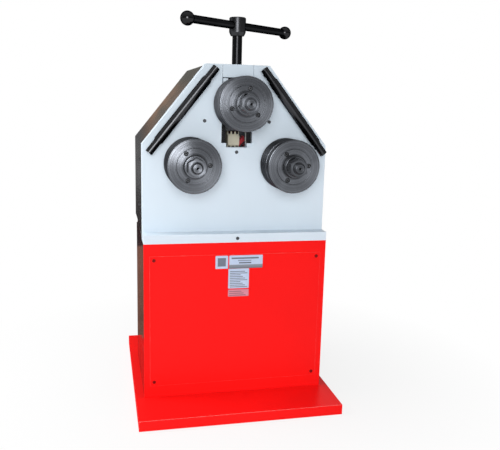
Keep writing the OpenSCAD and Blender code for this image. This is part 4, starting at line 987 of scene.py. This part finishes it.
class BENDER_OT_slot(bpy.types.Operator):
    """What shows in the slot: rails, carriage, contactor, terminals and wires"""
    bl_idname = "bender.slot_fittings"
    bl_label = "Slot Fittings"

    def execute(self, context):
        look, cut = finishes(), sizes()
        rails = rounded("guide_rails", black_oxide("rail_black", look.black), cut.machined_edge)
        # The rails' inward faces get pale paint, a painted highlight on the black rails
        guide = paint("rail_guide_face", look.guide, rough=0.30, worn=(0.9, 0.9, 0.9))
        dress(rails, guide, lambda face: face.normal.x * face.center.x < 0 and abs(face.normal.x) > 0.9)
        pale = paint("carriage_paint", look.white, rough=0.36, worn=(0.82, 0.86, 0.90))
        rounded("carriage", pale, cut.machined_edge * 1.4)
        bronze = metal("bronze", look.bronze, rough=0.34)
        for node in ("screw_nut", "carriage_bearings", "lower_shaft_bearings"):
            coat(node, bronze)
        cream = moulded("cream_plastic", look.cream, rough=0.40)
        contactor = rounded("contactor", cream, cut.cast_edge * 0.6)
        self.notches(contactor, moulded("notch_shade", look.notch, rough=0.6, shine=0.2))
        self.terminals(metal("terminal_plate", tinted(look.zinc, 2), rough=0.30))
        self.wires(moulded("wire_red", look.wire, rough=0.34))
        return {"FINISHED"}

    def notches(self, contactor, dark):
        """Gives the walls of the terminal notches a dark shade."""
        low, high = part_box("contactor")
        side, front, rear = MM, 9 * MM, 10 * MM

        def in_notch(face):
            x, y, z = face.center
            if not (low.x + side < x < high.x - side and low.y + front < y < high.y - rear):
                return False
            return abs(z - (low.z + high.z) / 2) > 0.3 * (high.z - low.z)

        dress(contactor, dark, in_notch)

    def terminals(self, plate):
        """Clamp screws in two rows on the contactor's stepped front."""
        low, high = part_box("contactor")
        count = 3
        step = (high.x - low.x) / count
        front, inset = low.y + 23 * MM, 0.15 * (high.z - low.z)
        places = [(low.x + (index + 0.5) * step, front, row)
                  for row in (low.z + inset, high.z - inset) for index in range(count)]
        cut = sizes()
        mesh = points_mesh("terminal_points", places, [(0, -1, 0)] * len(places))
        made = grown(mesh, bpy.data.node_groups["Socket screws"], {
            "Head": cut.terminal, "Rise": 2.4 * MM, "Socket": 2.2 * MM, "Washer": 6.4 * MM,
            "Washer rise": 1.2 * MM, "Finish": plate}, "contactor_terminals")
        seat(made, "frame", "zinc_fastener")

    def wires(self, red):
        """The control wires with real bends, in place of the plain ones."""
        paths, links = [], []
        solids = islands("contactor_wires")
        diameter = solids[0][1].x - solids[0][0].x
        beside = Vector((diameter * len(solids), 0, 0))
        for low, high in solids + [(low + beside, high + beside) for low, high in solids[:2]]:
            x = (low.x + high.x) / 2
            front = low.y + diameter / 2
            bottom, top = low.z + diameter / 2, high.z - diameter / 2
            first = len(paths)
            paths += [(x, high.y, bottom), (x, front, bottom), (x, front, top), (x, high.y, top)]
            links += [(first + i, first + i + 1) for i in range(3)]
        mesh = bpy.data.meshes.new("wire_paths")
        mesh.from_pydata(paths, links, [])
        made = grown(mesh, wire_tree(), {
            "Diameter": diameter * 0.92, "Bend": sizes().wire_bend,
            "Finish": red}, "contactor_wires_finished")
        seat(made, "frame", "red_wire", "contactor_wires")


class BENDER_OT_screws(bpy.types.Operator):
    """Cover and panel screws, in place of the plain ones"""
    bl_idname = "bender.screws"
    bl_label = "Screws"

    def execute(self, context):
        cut = sizes()
        zinc = metal("zinc_plate", finishes().zinc, rough=0.32)
        dark_red = tinted(finishes().red, 0.22)
        painted = paint("panel_screw_paint", dark_red, rough=0.34, worn=(0.30, 0.08, 0.07), shine=0.2)
        tree = screw_tree()
        for node, material in (("panel_screws", painted), ("cover_screws", zinc)):
            places, aims = zip(*(self.seat_of(low, high) for low, high in islands(node)))
            made = grown(points_mesh(node + "_points", places, aims), tree, {
                "Head": cut.screw_head * 0.92, "Rise": cut.screw_rise, "Socket": cut.screw_socket,
                "Washer": cut.washer, "Washer rise": cut.washer_rise,
                "Finish": material}, node + "_finished")
            seat(made, "frame", "zinc_fastener", node)
        coat("pedestal_bolts", zinc)
        return {"FINISHED"}

    def seat_of(self, low, high):
        """Where a screw's head sits and which way it faces, from the corners of its solid."""
        centre = (low + high) / 2
        spans = high - low
        middle = sorted(spans)[1]
        axis = max(range(3), key=lambda i: abs(spans[i] - middle))
        sign = 1 if centre[axis] > 0 else -1
        aim = Vector((0, 0, 0))
        aim[axis] = sign
        place = centre.copy()
        place[axis] = (high if sign > 0 else low)[axis] - sign * sizes().screw_rise
        return place, aim


class BENDER_OT_labels(bpy.types.Operator):
    """The four plain plates on the access panel"""
    bl_idname = "bender.labels"
    bl_label = "Plain Plates"

    def execute(self, context):
        look = finishes()
        solids = islands("label_plates")
        area = lambda pair: (pair[1].x - pair[0].x) * (pair[1].z - pair[0].z)
        square = min(solids, key=lambda pair: pair[0].x)
        others = [pair for pair in solids if pair is not square]
        wide = max(others, key=lambda pair: pair[1].x - pair[0].x)
        strip = min(others, key=area)
        tall = next(pair for pair in others if pair is not wide and pair is not strip)
        field = tuple(look.label_field)
        square_marks = [(0.18, 0.18, 0.82, 0.82, field, 0.8)]
        wide_marks = [(0.07, 0.72, 0.88, 0.84, INK, 0.8), (0.26, 0.55, 0.66, 0.64, INK, 0.55),
                      (0.29, 0.37, 0.66, 0.47, INK, 0.85)]
        tall_marks = bars(0.08, 0.92, 0.06, 0.92, 10, 0.75)
        plan = {
            "square_plate": (square, look.label, square_marks, None),
            "wide_plate": (wide, look.label, wide_marks, tuple(look.label_band)),
            "tall_plate": (tall, look.label, tall_marks, None),
            "strip_plate": (strip, look.label_strip, bars(0.06, 0.86, 0.12, 0.92, 3, 0.6), None),
        }
        for name, ((low, high), base, marks, band) in plan.items():
            self.plate(name, low, high, label_face(name + "_print", base, low, high, marks, band))
        return {"FINISHED"}

    def plate(self, name, low, high, material):
        """A thin plate with rounded corners in the space of its solid."""
        corner, steps = 2.5 * MM, 6
        model = bmesh.new()
        face = []
        for sx, sz, start in ((1, 1, 0), (-1, 1, 90), (-1, -1, 180), (1, -1, 270)):
            middle_x = (high.x if sx > 0 else low.x) - sx * corner
            middle_z = (high.z if sz > 0 else low.z) - sz * corner
            for i in range(steps + 1):
                turn = math.radians(start + 90 * i / steps)
                face.append(model.verts.new(
                    (middle_x + corner * math.cos(turn), high.y, middle_z + corner * math.sin(turn))))
        back = model.faces.new(face)
        front = bmesh.ops.extrude_face_region(model, geom=[back])
        moved = [item for item in front["geom"] if isinstance(item, bmesh.types.BMVert)]
        bmesh.ops.translate(model, verts=moved, vec=(0, low.y - high.y, 0))
        bmesh.ops.recalc_face_normals(model, faces=model.faces)
        mesh = baked(model, name, material)
        shade(mesh)
        seat(link(mesh, name), "frame", "label_plate", "label_plates")


class BENDER_OT_drive(bpy.types.Operator):
    """Finishes of the frame and drive inside the machine"""
    bl_idname = "bender.drive"
    bl_label = "Inner Frame and Drive"

    def execute(self, context):
        look = finishes()
        milled = metal("milled_steel", look.milled, rough=0.30, grain=(1, 1, 0.1))
        for node in ("pedestal_top_plate", "frame_rear_plate", "frame_tie_bars", "left_gear",
                     "right_gear", "drive_pinion", "upper_lock_collar"):
            coat(node, milled)
        cast = casting("gearbox_casting", look.casting)
        for node in ("gearbox_housing", "drive_motor", "motor_terminal_box"):
            coat(node, cast)
        coat("electrical_plate", metal("plate_zinc", tinted(look.zinc, 2), rough=0.36))
        return {"FINISHED"}


class BENDER_OT_stage(bpy.types.Operator):
    """Floor, sky, lamps and camera"""
    bl_idname = "bender.stage"
    bl_label = "Stage"

    def execute(self, context):
        stage = context.scene.bender_stage
        context.scene.view_settings.view_transform = "Standard"
        self.floor(stage)
        self.sky(context, stage)
        ahead, up = self.camera(context, stage)
        self.lamps(stage, ahead, up)
        self.flag()
        return {"FINISHED"}

    def floor(self, stage):
        """A wide pale plane that looks white to the camera and keeps soft shadows."""
        reach, drop = 30.0, 0.4 * MM
        mesh = bpy.data.meshes.new("floor")
        corners = [(x * reach, y * reach, -drop) for x, y in ((-1, -1), (1, -1), (1, 1), (-1, 1))]
        mesh.from_pydata(corners, [], [(0, 1, 2, 3)])
        finish = Finish("floor_paper")
        tone = tuple(stage.floor)
        finish.surface(
            Base_Color=finish.mix(finish.noise(0.8), tone, tinted(tone, 1.02)), Roughness=0.8,
            Specular_IOR_Level=0.1)
        glow = finish.node("ShaderNodeEmission", {"Color": (1, 1, 1, 1), "Strength": 1.0})
        rays = finish.node("ShaderNodeLightPath")
        seen = finish.math("MAXIMUM", rays.outputs["Is Camera Ray"], rays.outputs["Is Glossy Ray"])
        seen = finish.math("MAXIMUM", seen, rays.outputs["Is Transmission Ray"])
        flat = finish.vector("MULTIPLY", finish.place, (1, 1, 0))
        away = finish.vector("LENGTH", flat, (0, 0, 0), "Value")
        share = finish.times(seen, finish.spread(away, 0.30, 1.0, 0.82, 1.0))
        both = finish.node("ShaderNodeMixShader", {
            0: share, 1: finish.shader.outputs["BSDF"], 2: glow.outputs["Emission"]})
        finish.feed(finish.output, both.outputs[0])
        mesh.materials.append(finish.material)
        link(mesh, "floor")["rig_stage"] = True

    def flag(self):
        """Dark cards behind and beside the machine, which only its glossy sides mirror."""
        base_low, base_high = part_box("base_tray")
        head_low, head_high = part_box("head_front_cover")
        block_low, block_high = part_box("bridge_block")
        past_side, past_top, gap = 0.16, 0.13, 0.5 * MM
        left, right = head_low.x - past_side, block_high.x
        y, low, high = base_high.y + gap, 0.0, head_high.z + past_top
        mesh = bpy.data.meshes.new("flag")
        beside = [(left, base_low.y, 0), (base_low.x, base_low.y, 0), (base_low.x, y, 0), (left, y, 0)]
        behind = [(left, y, low), (right, y, low), (right, y, high), (left, y, high)]
        mesh.from_pydata(beside + behind, [], [(0, 1, 2, 3), (4, 5, 6, 7)])
        finish = Finish("flag_card")
        split = finish.node("ShaderNodeSeparateXYZ", {0: finish.place})
        height = split.outputs["Z"]
        fade = finish.spread(split.outputs["X"], block_low.x, block_high.x, 1.0, 0.0)
        look = finishes()
        tone = tuple(look.flag_floor)
        # Heights between which the card passes into its next colour
        for start, end, above in (
                (0.01, 0.02, look.flag_low), (0.365, 0.375, look.flag_dark),
                (0.44, 0.62, look.flag_high), (0.79, 0.85, look.flag_top)):
            share = finish.spread(height, start, end)
            tone = finish.mix(share, tone, tuple(above))
        drift = finish.spread(finish.noise(7, 2, (1, 1, 1.6)), 0.40, 0.60)
        tone = finish.mix(finish.times(drift, share), tone, tuple(look.flag_olive))
        patches = finish.spread(finish.noise(9, 3, (0.2, 1, 1)), 0.35, 0.65, 0.75, 1.15)
        finish.surface(
            Base_Color=(0, 0, 0), Specular_IOR_Level=0.0, Emission_Color=tone, Emission_Strength=patches,
            Alpha=fade)
        mesh.materials.append(finish.material)
        card = link(mesh, "flag")
        card.visible_camera = card.visible_diffuse = False
        card.visible_shadow = card.visible_transmission = False
        card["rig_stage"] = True

    def sky(self, context, stage):
        """Soft light that grows upwards, brighter in mirrors, and white to the camera."""
        world = bpy.data.worlds.new("studio")
        world.use_nodes = True
        shading = Nodes(world.node_tree)
        rays = shading.node("ShaderNodeLightPath").outputs
        mirror = rays["Is Glossy Ray"]
        toward = shading.node("ShaderNodeTexCoord").outputs["Generated"]
        split = shading.node("ShaderNodeSeparateXYZ", {0: toward}).outputs
        light = shading.spread(split["Z"], 0.0, 1.0, stage.sky, stage.sky_top)
        light = shading.times(light, shading.spread(mirror, 0.0, 1.0, 1.0, stage.sky_gloss))
        behind = shading.times(mirror, shading.spread(split["Y"], -0.1, 0.4))
        seen = shading.math("MAXIMUM", rays["Is Camera Ray"], behind)
        seen = shading.math("MAXIMUM", seen, rays["Is Transmission Ray"])
        background = world.node_tree.nodes["Background"].inputs
        background["Color"].default_value = (1, 1, 1, 1)
        shading.feed(background["Strength"], shading.spread(seen, 0.0, 1.0, light, 1.0))
        context.scene.world = world

    def lamps(self, stage, ahead, up):
        """A key lamp behind and above the camera, and two that only lift shade."""
        eye, left = Vector(stage.place), Vector(stage.left_place)
        key = eye - ahead * stage.key_back + up * stage.key_rise
        key_aim = ahead - up * stage.key_rise * 0.3
        self.lamp("key_lamp", key, key_aim, stage.key_width, stage.key_power, mirrored=True)
        front = eye - 0.05 * ahead
        head, tray = Vector((0, 0, 0.75)), Vector((-0.25, 0.05, 0.1))
        self.lamp("front_fill", front, head - front, stage.front_width, stage.front_fill)
        self.lamp("left_fill", left, tray - left, stage.left_width, stage.left_fill)

    def lamp(self, name, place, aim, width, power, mirrored=False):
        """A square soft lamp that shines from its place along its aim, and may show in mirrors."""
        data = bpy.data.lights.new(name, "AREA")
        data.size = width
        data.energy = power
        made = link(data, name)
        made.location = place
        made.rotation_euler = aim.to_track_quat("-Z", "Y").to_euler()
        made.visible_camera = made.visible_glossy = mirrored

    def camera(self, context, stage):
        """Sets the camera and returns the directions ahead of it and up its picture."""
        yaw, pitch, roll = stage.aim
        flat = Vector((math.sin(yaw), math.cos(yaw), 0))
        ahead = flat * math.cos(pitch) + Vector((0, 0, math.sin(pitch)))
        across = Vector((math.cos(yaw), -math.sin(yaw), 0))
        above = across.cross(ahead)
        right = across * math.cos(roll) + above * math.sin(roll)
        up = above * math.cos(roll) - across * math.sin(roll)
        data = bpy.data.cameras.new("camera")
        data.lens = stage.lens
        data.sensor_width = 36.0
        data.shift_x, data.shift_y = stage.shift
        camera = link(data, "camera")
        axes = Matrix((right, up, -ahead)).transposed().to_4x4()
        camera.matrix_world = Matrix.Translation(Vector(stage.place)) @ axes
        context.scene.camera = camera
        return ahead, up


class BENDER_PT_panel(bpy.types.Panel):
    """Lists the steps that build the machine's looks"""
    bl_idname = "BENDER_PT_panel"
    bl_label = "Roll Bender"
    bl_space_type = "VIEW_3D"
    bl_region_type = "UI"
    bl_category = "Roll Bender"

    def draw(self, context):
        for step in STEPS:
            self.layout.operator(step.bl_idname)
        for name, group in GROUPS.items():
            box = self.layout.box()
            for value in group.__annotations__:
                box.prop(getattr(context.scene, name), value)


GROUPS = {
    "bender_finishes": BenderFinishes,
    "bender_sizes": BenderSizes,
    "bender_stage": BenderStage,
}
STEPS = (
    BENDER_OT_stage, BENDER_OT_pedestal, BENDER_OT_head, BENDER_OT_rollers, BENDER_OT_support_bars,
    BENDER_OT_handle, BENDER_OT_screws, BENDER_OT_slot, BENDER_OT_labels, BENDER_OT_drive,
)


def register():
    for group in (*GROUPS.values(), *STEPS, BENDER_PT_panel):
        bpy.utils.register_class(group)
    for name, group in GROUPS.items():
        setattr(bpy.types.Scene, name, PointerProperty(type=group))


def unregister():
    for name in GROUPS:
        delattr(bpy.types.Scene, name)
    for group in reversed((*GROUPS.values(), *STEPS, BENDER_PT_panel)):
        bpy.utils.unregister_class(group)


def main():
    register()
    for step in STEPS:
        family, action = step.bl_idname.split(".")
        getattr(getattr(bpy.ops, family), action)()
    boxes = {"cad": cad_box, "visual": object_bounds()}
    {name: [list(corner) for corner in pair] for name, pair in boxes.items()}


if __name__ == "__main__":
    main()
